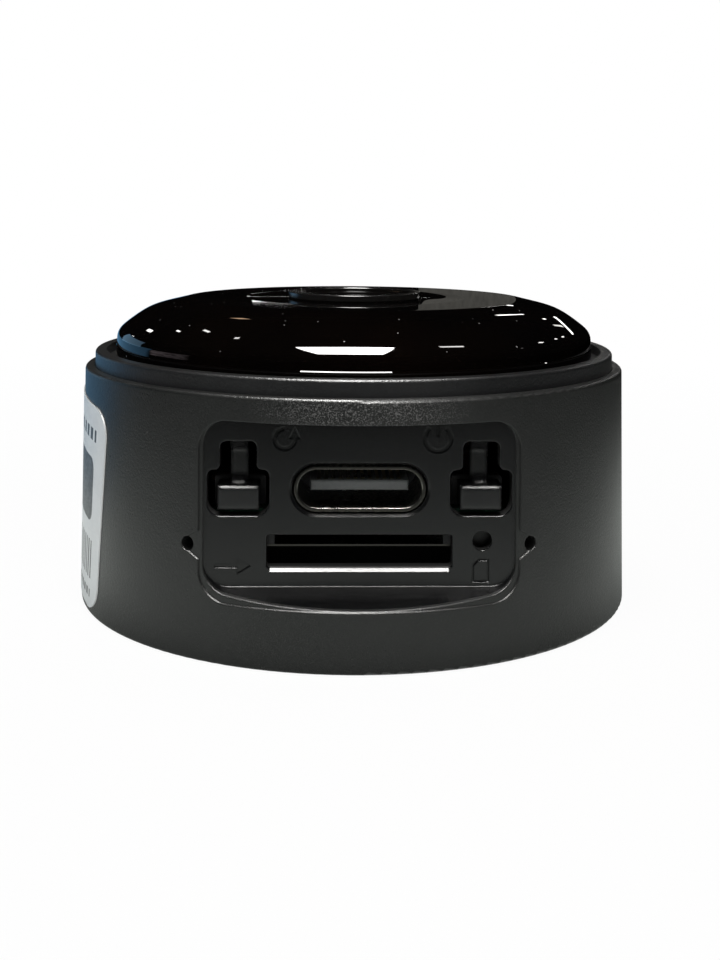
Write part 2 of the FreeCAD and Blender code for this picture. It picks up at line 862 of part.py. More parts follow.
def front_window():
    """The glossy cover: an upright side, one smooth curve over the shoulder, and a flat middle."""
    bore = collar_neck_radius + collar_neck_clearance
    side = (window_radius, side_top)
    flat = (flat_radius, window_top)
    passes = [side, (lean_radius, lean_top), (shoulder_radius, shoulder_top), flat]
    dome = Part.BSplineCurve()
    dome.interpolate(Points=[Vector(r, 0, z) for r, z in passes], InitialTangent=Vector(0, 0, 1),
                     FinalTangent=Vector(-1, 0, math.tan(math.radians(crease_angle))))
    inner = window_radius - window_wall
    inside_lean = (inner, side_top - window_inside_drop)
    inside_shoulder = (shoulder_radius - window_inside_inset, shoulder_top - window_wall)
    inside_flat = (flat_radius, ceiling_z)
    edges = [line((window_radius, 0, window_bottom), (side[0], 0, side[1])),
             dome.toShape(),
             line((flat[0], 0, flat[1]), (bore, 0, window_top)),
             line((bore, 0, window_top), (bore, 0, ceiling_z)),
             line((bore, 0, ceiling_z), (inside_flat[0], 0, inside_flat[1])),
             line((inside_flat[0], 0, inside_flat[1]), (inside_shoulder[0], 0, inside_shoulder[1])),
             window_arc(inside_lean, inside_shoulder, window_inside_bulge),
             line((inside_lean[0], 0, inside_lean[1]), (inner, 0, window_bottom)),
             line((inner, 0, window_bottom), (window_radius, 0, window_bottom))]
    face = Part.Face(Part.Wire(Part.__sortEdges__(edges)))
    cover = face.revolve(Vector(0, 0, 0), Vector(0, 0, 1), 360)
    crease = edges_where(cover, lambda b: b.ZMin > window_top - 1e-3 and b.XLength > 2 * bore + over)
    return cover.makeFillet(crease_radius, crease)


def window_adhesive():
    outer = window_radius - adhesive_inset
    inner = window_radius - window_wall + adhesive_inset
    return pipe(outer, inner, shelf_top, window_bottom)


def lens_collar():
    """The ring in the middle of the window, with a conical mouth down to its throat."""
    top = window_top + collar_rise
    ring = turned([(collar_throat_radius, collar_bottom), (collar_neck_radius, collar_bottom),
                   (collar_neck_radius, window_top), (collar_radius, window_top), (collar_radius, top),
                   (collar_mouth_radius, top), (collar_throat_radius, collar_bottom + collar_throat)])
    edge = edges_where(ring, lambda b: b.ZMin > top - nearly and b.XMax > collar_radius - 1e-3)
    return ring.makeFillet(collar_edge_radius, edge)


def light_seal():
    """The rubber sleeve that keeps the infrared light out of the lens."""
    inner = led_board_bore - seal_grip
    return pipe(inner + seal_wall, inner, led_board_top, ceiling_z)


def lens_barrel():
    """A stepped tube: wide head above the infrared board, narrow threaded foot in the holder."""
    foot = board_top + barrel_foot
    ledge = foot + barrel_ledge_height
    neck = led_board_top + barrel_head_drop
    lip = barrel_top - barrel_lip
    seat = lip - front_glass_thickness
    return turned([(rear_glass_radius - barrel_ledge, foot), (barrel_radius, foot), (barrel_radius, neck),
                   (barrel_head_radius, neck), (barrel_head_radius, barrel_top),
                   (barrel_bore - barrel_lip, barrel_top), (barrel_bore - barrel_lip, lip),
                   (barrel_bore, lip - barrel_step), (barrel_bore, seat),
                   (rear_glass_radius, seat - barrel_cone), (rear_glass_radius, ledge),
                   (rear_glass_radius - barrel_ledge, ledge)])


def glass(radius, z_low, thickness, bulge):
    """A lens element: a flat disc with a bulging front."""
    rim = thickness - bulge
    edges = [line((0, 0, z_low), (radius, 0, z_low)),
             line((radius, 0, z_low), (radius, 0, z_low + rim))]
    ball = (radius ** 2 + bulge ** 2) / (2 * bulge)
    top = z_low + thickness
    half = radius / 2
    drop = ball - math.sqrt(ball ** 2 - half ** 2)
    edges.append(arc((radius, 0, z_low + rim), (half, 0, top - drop), (0, 0, top)))
    edges.append(line((0, 0, top), (0, 0, z_low)))
    return Part.Face(Part.Wire(edges)).revolve(Vector(0, 0, 0), Vector(0, 0, 1), 360)


def lens_front_element():
    seat = barrel_top - barrel_lip - front_glass_thickness
    radius = barrel_bore - barrel_lip - glass_clearance
    disc = glass(radius, seat + barrel_step, front_glass_thickness - glass_headroom, front_glass_bulge)
    flange = post(0, 0, seat, seat + barrel_step, barrel_bore - glass_clearance)
    return disc.fuse(flange).removeSplitter()


def lens_rear_element():
    ledge = board_top + barrel_foot + barrel_ledge_height
    return glass(rear_glass_radius - glass_clearance, ledge, rear_glass_thickness, rear_glass_bulge)


def lens_holder():
    """The square foot over the image sensor, with the threaded neck for the barrel."""
    base_top = board_top + holder_base_height
    neck_top = led_board_bottom - holder_top_gap
    body = block(0, 0, holder_width, holder_width, board_top, holder_base_height)
    body = body.makeFillet(holder_corner, upright_edges(body))
    body = body.fuse(post(0, 0, base_top, neck_top, holder_neck_radius))
    cave = holder_width - 2 * holder_wall
    body = body.cut(block(0, 0, cave, cave, board_top - over, over + holder_base_height - holder_roof))
    body = body.cut(block(0, 0, aperture_width, aperture_width, board_top, holder_base_height + over))
    bore = barrel_radius + holder_bore_clearance
    return body.cut(post(0, 0, board_top + barrel_foot - holder_bore_depth, neck_top + over, bore))


def ir_filter():
    top = board_top + holder_base_height - holder_roof
    return block(0, 0, filter_width, filter_width, top - filter_thickness, filter_thickness)


def image_sensor():
    return block(0, 0, sensor_width, sensor_width, board_top, sensor_thickness)


def main_board():
    """A round board with a straight front edge, screw holes, slots for the USB legs and a wire notch."""
    board = post(0, 0, board_bottom, board_top, board_radius)
    board = board.cut(box(-outside, outside, -outside, board_front, 0, housing_height))
    for x, y in boss_places():
        board = board.cut(post(x, y, board_bottom - over, board_top + over, screw_radius + screw_hole_clearance))
    for x, y in usb_leg_places():
        width = usb_metal + 2 * usb_leg_clearance
        depth = usb_leg_width + 2 * usb_leg_clearance
        board = board.cut(block(x, y, width, depth, board_bottom - over, board_thickness + 2 * over))
    notch = wire_spacing / 2 + wire_radius + wire_notch_side
    notch_y = wire_wall_y() - wire_radius - wire_notch_back
    return board.cut(box(wire_x - notch, wire_x + notch, notch_y, outside, board_bottom - over, board_top + over))


def board_screws():
    """Three self-tapping screws with cross recesses."""
    screws = []
    for x, y in boss_places():
        shank = post(x, y, board_top - screw_length, board_top, screw_radius)
        head = post(x, y, board_top, board_top + screw_head_height, screw_head_radius)
        rim = edges_where(head, lambda b: b.ZMin > board_top + screw_head_height - nearly)
        head = head.makeFillet(screw_head_edge, rim)
        screw = shank.fuse(head)
        z = board_top + screw_head_height - recess_depth
        for width, depth in ((recess_width, screw_head_radius), (screw_head_radius, recess_width)):
            screw = screw.cut(block(x, y, width, depth, z, 1))
        screws.append(screw)
    return group(screws)


def usb_leg_places():
    x = usb_width / 2 - usb_metal / 2
    front = panel_y + usb_setback
    for side in (-1, 1):
        for y in (front + 0.3 * usb_length, front + 0.85 * usb_length):
            yield side * x, y


def usb_shell():
    """The drawn metal shell of the socket, open at the front, with four legs through the board."""
    front = panel_y + usb_setback
    back = front + usb_length
    outer = rounded_bar(0, usb_centre, usb_width, usb_height, usb_height, front, back)
    shell = outer.cut(rounded_bar(0, usb_centre, usb_inner_width, usb_inner_height, usb_inner_height,
                                  front - over, back + over))
    shell = shell.makeFillet(usb_lip_radius, edges_where(shell, lambda b: b.YMax < front + nearly))
    for x, y in usb_leg_places():
        shell = shell.fuse(block(x, y, usb_metal, usb_leg_width, board_bottom, usb_centre - board_bottom))
    return shell.removeSplitter()


def usb_tongue():
    """The plastic block at the back of the socket and the tongue that carries the contacts."""
    front = panel_y + usb_setback
    back = front + usb_length
    width = usb_inner_width - 2 * usb_base_clearance
    height = usb_inner_height - 2 * usb_base_clearance
    base = rounded_bar(0, usb_centre, width, height, height, back - usb_base_length, back)
    tongue = box(-tongue_width / 2, tongue_width / 2, front + tongue_setback, back - usb_base_length,
                 usb_centre - tongue_thickness / 2, usb_centre + tongue_thickness / 2)
    edges = edges_where(tongue, lambda b: b.YMax < front + tongue_setback + nearly)
    tongue = tongue.makeFillet(tongue_edge_radius, edges)
    return base.fuse(tongue).removeSplitter()


def usb_contacts():
    """Contact strips on both faces of the tongue."""
    front = panel_y + usb_setback
    start = front + tongue_setback + usb_contact_start
    end = front + usb_length - usb_base_length
    strips = []
    for index in range(usb_contact_count):
        x = (index - (usb_contact_count - 1) / 2) * usb_contact_pitch
        half = usb_contact_width / 2
        top = usb_centre + tongue_thickness / 2
        low = usb_centre - tongue_thickness / 2
        strips.append(box(x - half, x + half, start, end, top, top + usb_contact_thickness))
        strips.append(box(x - half, x + half, start, end, low - usb_contact_thickness, low))
    return group(strips)


def card_socket_base():
    """The plastic frame of the card socket: ceiling, side rails and the slider's channel."""
    back = socket_front + socket_length
    half = socket_width / 2
    floor = socket_bottom + socket_sheet
    ceiling = board_bottom - socket_top
    frame = box(-half, half, socket_front, back, floor, board_bottom)
    frame = frame.cut(box(socket_side - half, half - socket_side, socket_front - over, back - socket_back_wall,
                          floor - over, ceiling))
    x_low, x_high = slider_channel()
    start, end = channel_ends()
    return frame.cut(box(x_low, x_high, start, end, floor - over, ceiling))


def slider_channel():
    """The slider's channel lies in the right rail, open to the card's space."""
    rail = socket_width / 2 - socket_side
    return rail - 0.01, rail + slider_width + 2 * slider_clearance


def channel_ends():
    start = socket_front + slider_start
    spring = spring_turns * spring_pitch + 2 * spring_wire
    return start, start + slider_clearance + slider_length + slider_travel + slider_end_gap + spring


def slider_heights():
    floor = socket_bottom + socket_sheet
    ceiling = board_bottom - socket_top
    return floor + slider_clearance, ceiling - slider_clearance


def card_slider():
    """The sprung slider that the card pushes back, with a foot that reaches behind the card."""
    start = channel_ends()[0] + slider_clearance
    end = start + slider_length
    low, high = slider_heights()
    left = slider_channel()[0] + slider_clearance
    body = box(left, left + slider_width, start, end, low, high)
    foot = box(left - slider_foot_reach, left, end - slider_foot, end, low, high)
    return body.fuse(foot).removeSplitter()


def coil(radius, wire, pitch, turns):
    """A helical spring along Z from its own origin."""
    helix = Part.makeHelix(pitch, pitch * turns, radius)
    section = Part.Wire(Part.makeCircle(wire, Vector(radius, 0, 0), Vector(0, 1, 0)))
    return Part.Wire(helix).makePipeShell([section], True, True)


def card_slider_spring():
    """The return spring behind the slider, shown at its pressed length."""
    x_low, x_high = slider_channel()
    low, high = slider_heights()
    end = channel_ends()[1]
    spring = coil(spring_radius - spring_wire, spring_wire, spring_pitch, spring_turns)
    spring.rotate(Vector(0, 0, 0), Vector(1, 0, 0), 90)
    spring.translate(Vector((x_low + x_high) / 2, end - spring_wire, (low + high) / 2))
    return spring


def card_socket_cover():
    """The folded metal cover below the socket, with a flange up each side."""
    back = socket_front + socket_length
    half = socket_width / 2
    top = socket_bottom + socket_sheet
    cover = box(-half - socket_sheet, half + socket_sheet, socket_front, back, socket_bottom, top)
    for side in (-1, 1):
        ends = sorted((side * half, side * (half + socket_sheet)))
        cover = cover.fuse(box(ends[0], ends[1], socket_front, back, top, board_bottom))
    start = socket_front + cover_window_start
    window = box(-cover_window_width / 2, cover_window_width / 2, start, start + cover_window_length,
                 socket_bottom - over, top + over)
    return cover.cut(window).removeSplitter()


def card_contacts():
    """Spring contacts under the socket's ceiling."""
    end = socket_front + socket_length - socket_back_wall
    top = board_bottom - socket_top
    strips = []
    for index in range(card_contact_count):
        x = (index - (card_contact_count - 1) / 2) * card_contact_pitch - card_contact_shift
        half = card_contact_width / 2
        strips.append(box(x - half, x + half, end - card_contact_length, end,
                          top - card_contact_thickness, top))
    return group(strips)


def push_button(side):
    """A button cap on its arm; the arm's root is a round knuckle behind the panel."""
    x = side * button_offset
    half = cap_width / 2
    front = panel_y + cap_sunk
    cap = box(x - half, x + half, front, cap_back, cap_bottom, cap_top)
    cap = cap.makeFillet(cap_edge_radius, edges_where(cap, lambda b: b.YMax < front + nearly))
    arm_half = arm_width / 2
    elbow = cap_top + arm_straight
    lean = math.hypot(arm_lean, arm_rise)
    shift_y = arm_thickness * arm_rise / lean
    shift_z = arm_thickness * arm_lean / lean
    low = cap_bottom + arm_start
    outline = [(arm_front, low), (arm_front, elbow), (pivot_y, pivot_z),
               (pivot_y + shift_y / 2, pivot_z + shift_z / 2), (cap_back, elbow + shift_z / 2),
               (cap_back, low)]
    corners = [Vector(x - arm_half, y, z) for y, z in outline]
    arm = Part.Face(Part.makePolygon(corners + corners[:1])).extrude(Vector(arm_width, 0, 0))
    knuckle = Part.makeCylinder(knuckle_radius, arm_width, Vector(x - arm_half, pivot_y, pivot_z),
                                Vector(1, 0, 0))
    root = arm_front + arm_thickness / 2
    toe = arm_front - gusset_depth
    bevel = gusset_height / 4
    outline = [(root, cap_top - arm_start), (toe, cap_top - arm_start), (toe, cap_top + bevel),
               (arm_front - bevel, cap_top + gusset_height), (root, cap_top + gusset_height)]
    corners = [Vector(x - gusset_width / 2, y, z) for y, z in outline]
    gusset = Part.Face(Part.makePolygon(corners + corners[:1])).extrude(Vector(gusset_width, 0, 0))
    return cap.fuse(arm).fuse(knuckle).fuse(gusset).removeSplitter()


def switch_front():
    return cap_back + plunger_gap + plunger_reach


def push_switch(side):
    """The body of a side-push switch, with the well that its plunger slides in."""
    x = side * button_offset
    front = switch_front()
    body = box(x - switch_width / 2, x + switch_width / 2, front, front + switch_depth,
               board_top, board_top + switch_height)
    upper = edges_where(body, lambda b: b.ZMin > board_top + switch_height - nearly)
    body = body.makeFillet(switch_edge_radius, upper)
    well_half = plunger_width / 2 + plunger_clearance
    well_high = plunger_height / 2 + plunger_clearance
    end = front + plunger_tail + button_travel + plunger_end_gap
    well = box(x - well_half, x + well_half, front - over, end, plunger_z - well_high, plunger_z + well_high)
    return body.cut(well)


def switch_plunger(side):
    x = side * button_offset
    front = switch_front()
    bar = box(x - plunger_width / 2, x + plunger_width / 2, front - plunger_reach, front + plunger_tail,
              plunger_z - plunger_height / 2, plunger_z + plunger_height / 2)
    nose = edges_where(bar, lambda b: b.YMax < front - plunger_reach + nearly)
    return bar.makeFillet(plunger_edge_radius, nose)


def status_led():
    """The indicator behind the round hole in the panel, under the board's front edge."""
    low = board_bottom - led_height
    body = box(led_hole_x - led_width / 2, led_hole_x + led_width / 2, board_front, board_front + led_depth,
               low, board_bottom)
    front = board_front - status_lens_reach
    lens = peg_y(led_hole_x, board_bottom - led_hole_drop, status_lens_radius, front, board_front + led_depth / 2)
    return body.fuse(lens).removeSplitter()


def charge_led():
    """The small indicator behind the right side hole."""
    front = -cavity_radius + charge_led_inset
    body = block(0, front + led_depth / 2, led_width, led_depth, board_bottom - led_height, led_height)
    lens = peg_y(0, board_bottom - side_hole_drop, charge_lens_radius, front - charge_lens_reach,
                 front + led_depth / 2)
    return about_axis(body.fuse(lens).removeSplitter(), side_hole_angle())


def microphone():
    """The microphone under the board, behind the left side hole."""
    front = -cavity_radius + boot_gap + boot_length
    can = box(-microphone_width / 2, microphone_width / 2, front, front + microphone_length,
              board_bottom - microphone_height, board_bottom)
    lower = edges_where(can, lambda b: b.ZMax < board_bottom - microphone_height + nearly)
    can = can.makeFillet(microphone_edge_radius, lower)
    end = front + microphone_port_radius
    port = peg_y(0, board_bottom - side_hole_drop, microphone_port_radius, front - over, end)
    return about_axis(can.cut(port), -side_hole_angle())


def microphone_boot():
    """The rubber sleeve between the microphone and the side wall."""
    front = -cavity_radius + boot_gap
    z = board_bottom - side_hole_drop
    boot = box(-boot_width / 2, boot_width / 2, front, front + boot_length,
               z - boot_height / 2, z + boot_height / 2)
    boot = boot.cut(peg_y(0, z, boot_bore_radius, front - over, front + boot_length + over))
    return about_axis(boot, -side_hole_angle())


def battery_y():
    """The battery sits so that it and its protection board are centred on the housing."""
    return -(battery_length + protection_length) / 2


def battery():
    y = battery_y()
    cell = box(-battery_width / 2, battery_width / 2, y, y + battery_length, battery_bottom, battery_top)
    long_edges = edges_where(cell, lambda b: b.XLength < nearly and b.ZLength < nearly)
    return cell.makeFillet(battery_corner, long_edges)


def battery_protection_board():
    """The small taped board at the battery's end."""
    y = battery_y() + battery_length
    middle = (battery_bottom + battery_top) / 2
    width = battery_width - 2 * protection_inset
    board = box(-width / 2, width / 2, y, y + protection_length, middle - protection_height / 2,
                middle + protection_height / 2)
    long_edges = edges_where(board, lambda b: b.YLength < nearly and b.ZLength < nearly)
    return board.makeFillet(protection_edge, long_edges)


def battery_pad():
    return block(0, 0, pad_side, pad_side, magnet_top, pad_thickness)


def rear_magnet():
    """The disc magnet in its ring on the rear wall."""
    disc = post(0, 0, rear_wall, magnet_top, magnet_radius)
    return disc.makeFillet(magnet_edge, edges_where(disc, lambda b: b.ZMin > magnet_top - nearly))


def wire_wall_y():
    """The wires climb past the board's edge, just inside the side wall."""
    reach = abs(wire_x) + wire_spacing / 2 + wire_radius
    return math.sqrt(cavity_radius ** 2 - reach ** 2) - wire_wall_gap - wire_radius


def bent_wire(points, radius, bend):
    """A round wire along straight runs that are joined by tangent arcs."""
    corners = [Vector(*p) for p in points]
    edges = []
    start = corners[0]
    for before, here, after in zip(corners, corners[1:], corners[2:]):
        back = (before - here).normalize()
        ahead = (after - here).normalize()
        half = back.getAngle(ahead) / 2
        length = bend / math.tan(half)
        first = here + back * length
        last = here + ahead * length
        centre = here + (back + ahead).normalize() * (bend / math.sin(half))
        middle = centre + (here - centre).normalize() * bend
        edges.append(Part.LineSegment(start, first).toShape())
        edges.append(Part.Arc(first, middle, last).toShape())
        start = last
    edges.append(Part.LineSegment(start, corners[-1]).toShape())
    path = Part.Wire(edges)
    direction = corners[1] - corners[0]
    section = Part.Wire(Part.makeCircle(radius, corners[0], direction))
    return path.makePipeShell([section], True, True)


def battery_lead(side):
    """One lead, from the protection board up past the board's edge and into its connector."""
    x = wire_x + side * wire_spacing / 2
    low = (battery_bottom + battery_top) / 2
    high = board_top + connector_height / 2
    start = battery_y() + battery_length + protection_length
    wall = wire_wall_y()
    return bent_wire([(x, start, low), (x, wall, low), (x, wall, high), (x, connector_end(), high)],
                     wire_radius, wire_bend)


def connector_end():
    return wire_wall_y() - connector_wire_run


def battery_connector():
    y = connector_end() - connector_depth / 2
    body = block(wire_x, y, connector_width, connector_depth, board_top, connector_height)
    return body.makeFillet(connector_corner, upright_edges(body))


def near_board_edge(angle, width, depth):
    """The centre of a part whose outer corner lies near the main board's edge at the angle from +X."""
    a = math.radians(angle)
    reach = board_radius - part_edge_gap
    x = reach * math.cos(a)
    y = reach * math.sin(a)
    return x - math.copysign(width / 2, x), y - math.copysign(depth / 2, y)


def processor():
    width, depth, height = processor_size
    x, y = near_board_edge(processor_angle, width, depth)
    return block(x, y, width, depth, board_top, height)


def flash_memory():
    width, depth, height = flash_size
    x = flash_inset - board_radius
    y = flash_y
    chip = block(x, y, width, depth, board_top + flash_lift, height - flash_lift)
    for index in range(flash_legs):
        for side in (-1, 1):
            leg_y = y + (index - (flash_legs - 1) / 2) * flash_leg_pitch
            leg_x = x + side * (width + flash_leg_length) / 2
            leg = block(leg_x, leg_y, flash_leg_length, flash_leg_width, board_top, flash_leg_height)
            chip = chip.fuse(leg)
    return chip


def wifi_module():
    """The radio module under its metal can."""
    width, depth, height = wifi_size
    x, y = near_board_edge(wifi_angle, width, depth)
    can = block(x, y, width, depth, board_top, height)
    return can.makeFillet(wifi_can_radius, edges_where(can, lambda b: b.ZMin > board_top + height - nearly))


def wifi_antenna():
    """The flexible antenna stuck inside the right side wall."""
    inner = cavity_radius - antenna_thickness
    low = board_top + antenna_lift
    high = low + antenna_height
    corners = [Vector(0, -inner, low), Vector(0, -cavity_radius, low), Vector(0, -cavity_radius, high),
               Vector(0, -inner, high)]
    section = Part.Face(Part.makePolygon(corners + corners[:1]))
    strip = section.revolve(Vector(0, 0, 0), Vector(0, 0, 1), antenna_end - antenna_start)
    return about_axis(strip, antenna_start)


def plug_x():
    return board_radius - plug_inset


def antenna_plug():
    return post(plug_x(), plug_y, board_top, board_top + plug_height, plug_radius)


def antenna_lead():
    """The thin lead from its plug round to the antenna."""
    z = board_top + plug_height / 2 + lead_rise
    wall = math.sqrt((cavity_radius - antenna_thickness) ** 2 - (abs(lead_turn_y) + lead_radius) ** 2)
    x = plug_x()
    return bent_wire([(x, plug_y - plug_radius - lead_end_gap, z), (x, lead_turn_y, z),
                      (wall - lead_end_gap, lead_turn_y, z)], lead_radius, lead_bend)


def led_board():
    """The ring board of the infrared lights, staked under the bezel's shelf."""
    board = pipe(led_board_radius, led_board_bore, led_board_bottom, led_board_top)
    board = board.cut(box(-outside, outside, -outside, board_front, 0, housing_height + over))
    circle = window_radius - stake_inset
    for angle in stake_angles:
        a = math.radians(angle)
        board = board.cut(post(circle * math.sin(a), -circle * math.cos(a), led_board_bottom - over,
                               led_board_top + over, stake_radius + stake_clearance))
    return board


def ir_leds():
    """Infrared lights in a ring round the lens, each a square package with a clear dome."""
    lights = []
    for index in range(led_count):
        base = block(0, -led_circle, ir_led_width, ir_led_width, led_board_top, ir_led_height)
        top = led_board_top + ir_led_height
        dome = Part.makeSphere(ir_led_dome, Vector(0, -led_circle, top - ir_led_dome_sink))
        room = 2 * ir_led_width
        dome = dome.common(block(0, -led_circle, room, room, top - ir_led_dome_overlap, room))
        light = base.fuse(dome).removeSplitter()
        lights.append(about_axis(light, 360 * (index + 0.5) / led_count))
    return group(lights)


def light_sensor():
    return block(0, light_sensor_inset - window_radius, light_sensor_width, light_sensor_depth, led_board_top,
                 light_sensor_height)


def header_places():
    for row in (-0.5, 0.5):
        for column in range(header_pins):
            x = (column - (header_pins - 1) / 2) * header_pitch
            yield x, header_y + row * header_pitch


def board_header():
    """The pin header that joins the main board to the infrared board."""
    body = block(0, header_y, header_width, header_depth, board_top, header_height)
    for x, y in header_places():
        body = body.fuse(block(x, y, pin_width, pin_width, board_top + header_height, pin_reach))
    return body


def led_board_socket():
    """The socket under the infrared board that takes the header's pins."""
    low = board_top + header_height + header_gap
    body = block(0, header_y, header_width, header_depth, low, led_board_bottom - low)
    for x, y in header_places():
        hole = pin_width + 2 * pin_clearance
        body = body.cut(block(x, y, hole, hole, low - over, over + pin_reach + pin_end_gap))
    return body


def board_components():
    """Small capacitors, resistors, coils and a crystal on the main board's upper face."""
    width, depth, height = chip_size
    pieces = [block(x, y, width, depth, board_top, height) for x, y in chip_places]
    width, depth, height = coil_size
    x = plug_x() - coil_plug_gap
    pieces += [block(x, y, width, depth, board_top, height) for y in coil_rows]
    width, depth, height = crystal_size
    crystal = block(crystal_inset - board_radius, crystal_y, width, depth, board_top, height)
    pieces.append(crystal.makeFillet(crystal_corner, upright_edges(crystal)))
    return group(pieces)


nodes = {
    "housing": housing,
    "side_label": side_label,
    "front_bezel": front_bezel,
    "front_window": front_window,
    "window_adhesive": window_adhesive,
    "lens_collar": lens_collar,
    "light_seal": light_seal,
    "lens_barrel": lens_barrel,
    "lens_front_element": lens_front_element,
    "lens_rear_element": lens_rear_element,
    "lens_holder": lens_holder,
    "ir_filter": ir_filter,
    "image_sensor": image_sensor,
    "main_board": main_board,
    "board_screws": board_screws,
    "usb_shell": usb_shell,
    "usb_tongue": usb_tongue,
    "usb_contacts": usb_contacts,
    "card_socket_base": card_socket_base,
    "card_socket_cover": card_socket_cover,
    "card_contacts": card_contacts,
    "card_slider": card_slider,
    "card_slider_spring": card_slider_spring,
    "reset_button": lambda: push_button(-1),
    "power_button": lambda: push_button(1),
    "reset_switch": lambda: push_switch(-1),
    "power_switch": lambda: push_switch(1),
    "reset_plunger": lambda: switch_plunger(-1),
    "power_plunger": lambda: switch_plunger(1),
    "status_led": status_led,
    "charge_led": charge_led,
    "microphone": microphone,
    "microphone_boot": microphone_boot,
    "battery": battery,
    "battery_protection_board": battery_protection_board,
    "battery_pad": battery_pad,
    "battery_lead_red": lambda: battery_lead(1),
    "battery_lead_black": lambda: battery_lead(-1),
    "battery_connector": battery_connector,
    "rear_magnet": rear_magnet,
    "processor": processor,
    "flash_memory": flash_memory,
    "wifi_module": wifi_module,
    "wifi_antenna": wifi_antenna,
    "antenna_plug": antenna_plug,
    "antenna_lead": antenna_lead,
    "led_board": led_board,
    "ir_leds": ir_leds,
    "light_sensor": light_sensor,
    "led_board_socket": led_board_socket,
    "board_header": board_header,
    "board_components": board_components,
}

os.makedirs("parts", exist_ok=True)
for name, make in nodes.items():
    shape = make()
    shape.exportStep("parts/" + name + ".step")
    bounds = shape.BoundBox
    print("%-26s solids %2d valid %s volume %9.3f z %.2f to %.2f" % (
        name, len(shape.Solids), shape.isValid(), shape.Volume, bounds.ZMin, bounds.ZMax))
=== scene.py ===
import bpy
import math
from mathutils import Matrix, Vector
from mathutils.geometry import interpolate_bezier


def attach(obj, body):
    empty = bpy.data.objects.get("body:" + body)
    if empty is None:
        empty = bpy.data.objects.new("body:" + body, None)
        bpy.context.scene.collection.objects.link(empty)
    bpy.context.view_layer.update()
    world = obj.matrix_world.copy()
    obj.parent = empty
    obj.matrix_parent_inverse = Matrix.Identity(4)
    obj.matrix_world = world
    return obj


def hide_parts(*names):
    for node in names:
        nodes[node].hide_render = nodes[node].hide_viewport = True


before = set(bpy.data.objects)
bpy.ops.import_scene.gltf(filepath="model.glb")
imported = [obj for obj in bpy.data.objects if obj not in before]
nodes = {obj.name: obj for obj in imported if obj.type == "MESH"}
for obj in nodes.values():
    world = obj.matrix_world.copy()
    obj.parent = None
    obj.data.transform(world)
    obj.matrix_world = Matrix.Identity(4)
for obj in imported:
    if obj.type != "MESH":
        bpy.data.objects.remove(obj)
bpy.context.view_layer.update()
mm = 0.001


# small helpers for shader trees

nodeGrid = dict(columns=8, wide=220, high=320)


def startMaterial(name):
    material = bpy.data.materials.new(name)
    material.use_nodes = True
    tree = material.node_tree
    return material, tree, tree.nodes["Principled BSDF"]


def add(tree, kind, **settings):
    row, column = divmod(len(tree.nodes), nodeGrid["columns"])
    node = tree.nodes.new(kind)
    node.location = (nodeGrid["wide"] * (column - nodeGrid["columns"]), -nodeGrid["high"] * row)
    for key, value in settings.items():
        setattr(node, key, value)
    return node


def feed(tree, target, value):
    # a socket takes a link, anything else is a plain number or colour
    if isinstance(value, bpy.types.NodeSocket):
        tree.links.new(value, target)
    else:
        target.default_value = value


def sums(tree, operation, first, second=0.0, third=0.0, clamp=False):
    node = add(tree, "ShaderNodeMath", operation=operation, use_clamp=clamp)
    for socket, value in zip(node.inputs, (first, second, third)):
        feed(tree, socket, value)
    return node.outputs[0]


def times(tree, *factors):
    product = factors[0]
    for factor in factors[1:]:
        product = sums(tree, "MULTIPLY", product, factor)
    return product


def largest(tree, *values):
    most = values[0]
    for value in values[1:]:
        most = sums(tree, "MAXIMUM", most, value)
    return most


def above(tree, value, low):
    return sums(tree, "GREATER_THAN", value, low)


def below(tree, value, high):
    return sums(tree, "LESS_THAN", value, high)


def between(tree, value, low, high):
    return times(tree, above(tree, value, low), below(tree, value, high))


def blend(tree, share, first, second):
    rest = sums(tree, "SUBTRACT", 1.0, share)
    return sums(tree, "MULTIPLY_ADD", first, rest, times(tree, second, share))


def objectPoint(tree, stretch=(1, 1, 1), turn=(0, 0, 0)):
    where = add(tree, "ShaderNodeTexCoord")
    mapping = add(tree, "ShaderNodeMapping")
    mapping.inputs["Scale"].default_value = stretch
    mapping.inputs["Rotation"].default_value = turn
    tree.links.new(where.outputs["Object"], mapping.inputs["Vector"])
    return mapping.outputs["Vector"]


def coordinates(tree, point):
    split = add(tree, "ShaderNodeSeparateXYZ")
    tree.links.new(point, split.inputs[0])
    return split.outputs


def distance(tree, point):
    away = add(tree, "ShaderNodeVectorMath", operation="LENGTH")
    tree.links.new(point, away.inputs[0])
    return away.outputs["Value"]


def distanceFromAxis(tree, x, y):
    flat = add(tree, "ShaderNodeCombineXYZ")
    tree.links.new(x, flat.inputs[0])
    tree.links.new(y, flat.inputs[1])
    return distance(tree, flat.outputs[0])


def noise(tree, point, scale, detail=3.0, rough=0.5, twist=0.0):
    node = add(tree, "ShaderNodeTexNoise")
    tree.links.new(point, node.inputs["Vector"])
    node.inputs["Scale"].default_value = scale
    node.inputs["Detail"].default_value = detail
    node.inputs["Roughness"].default_value = rough
    node.inputs["Distortion"].default_value = twist
    return node.outputs["Fac"]


def cells(tree, point, scale):
    node = add(tree, "ShaderNodeTexVoronoi", feature="F1")
    tree.links.new(point, node.inputs["Vector"])
    node.inputs["Scale"].default_value = scale
    return node.outputs["Distance"]


def spread(tree, value, fromLow, fromHigh, low, high):
    node = add(tree, "ShaderNodeMapRange")
    node.inputs["From Min"].default_value = fromLow
    node.inputs["From Max"].default_value = fromHigh
    node.inputs["To Min"].default_value = low
    node.inputs["To Max"].default_value = high
    tree.links.new(value, node.inputs["Value"])
    return node.outputs["Result"]


cloudRange = (0.3, 0.7)    # noise mostly lies between these


def vary(tree, cloud, low, high):
    return spread(tree, cloud, *cloudRange, low, high)


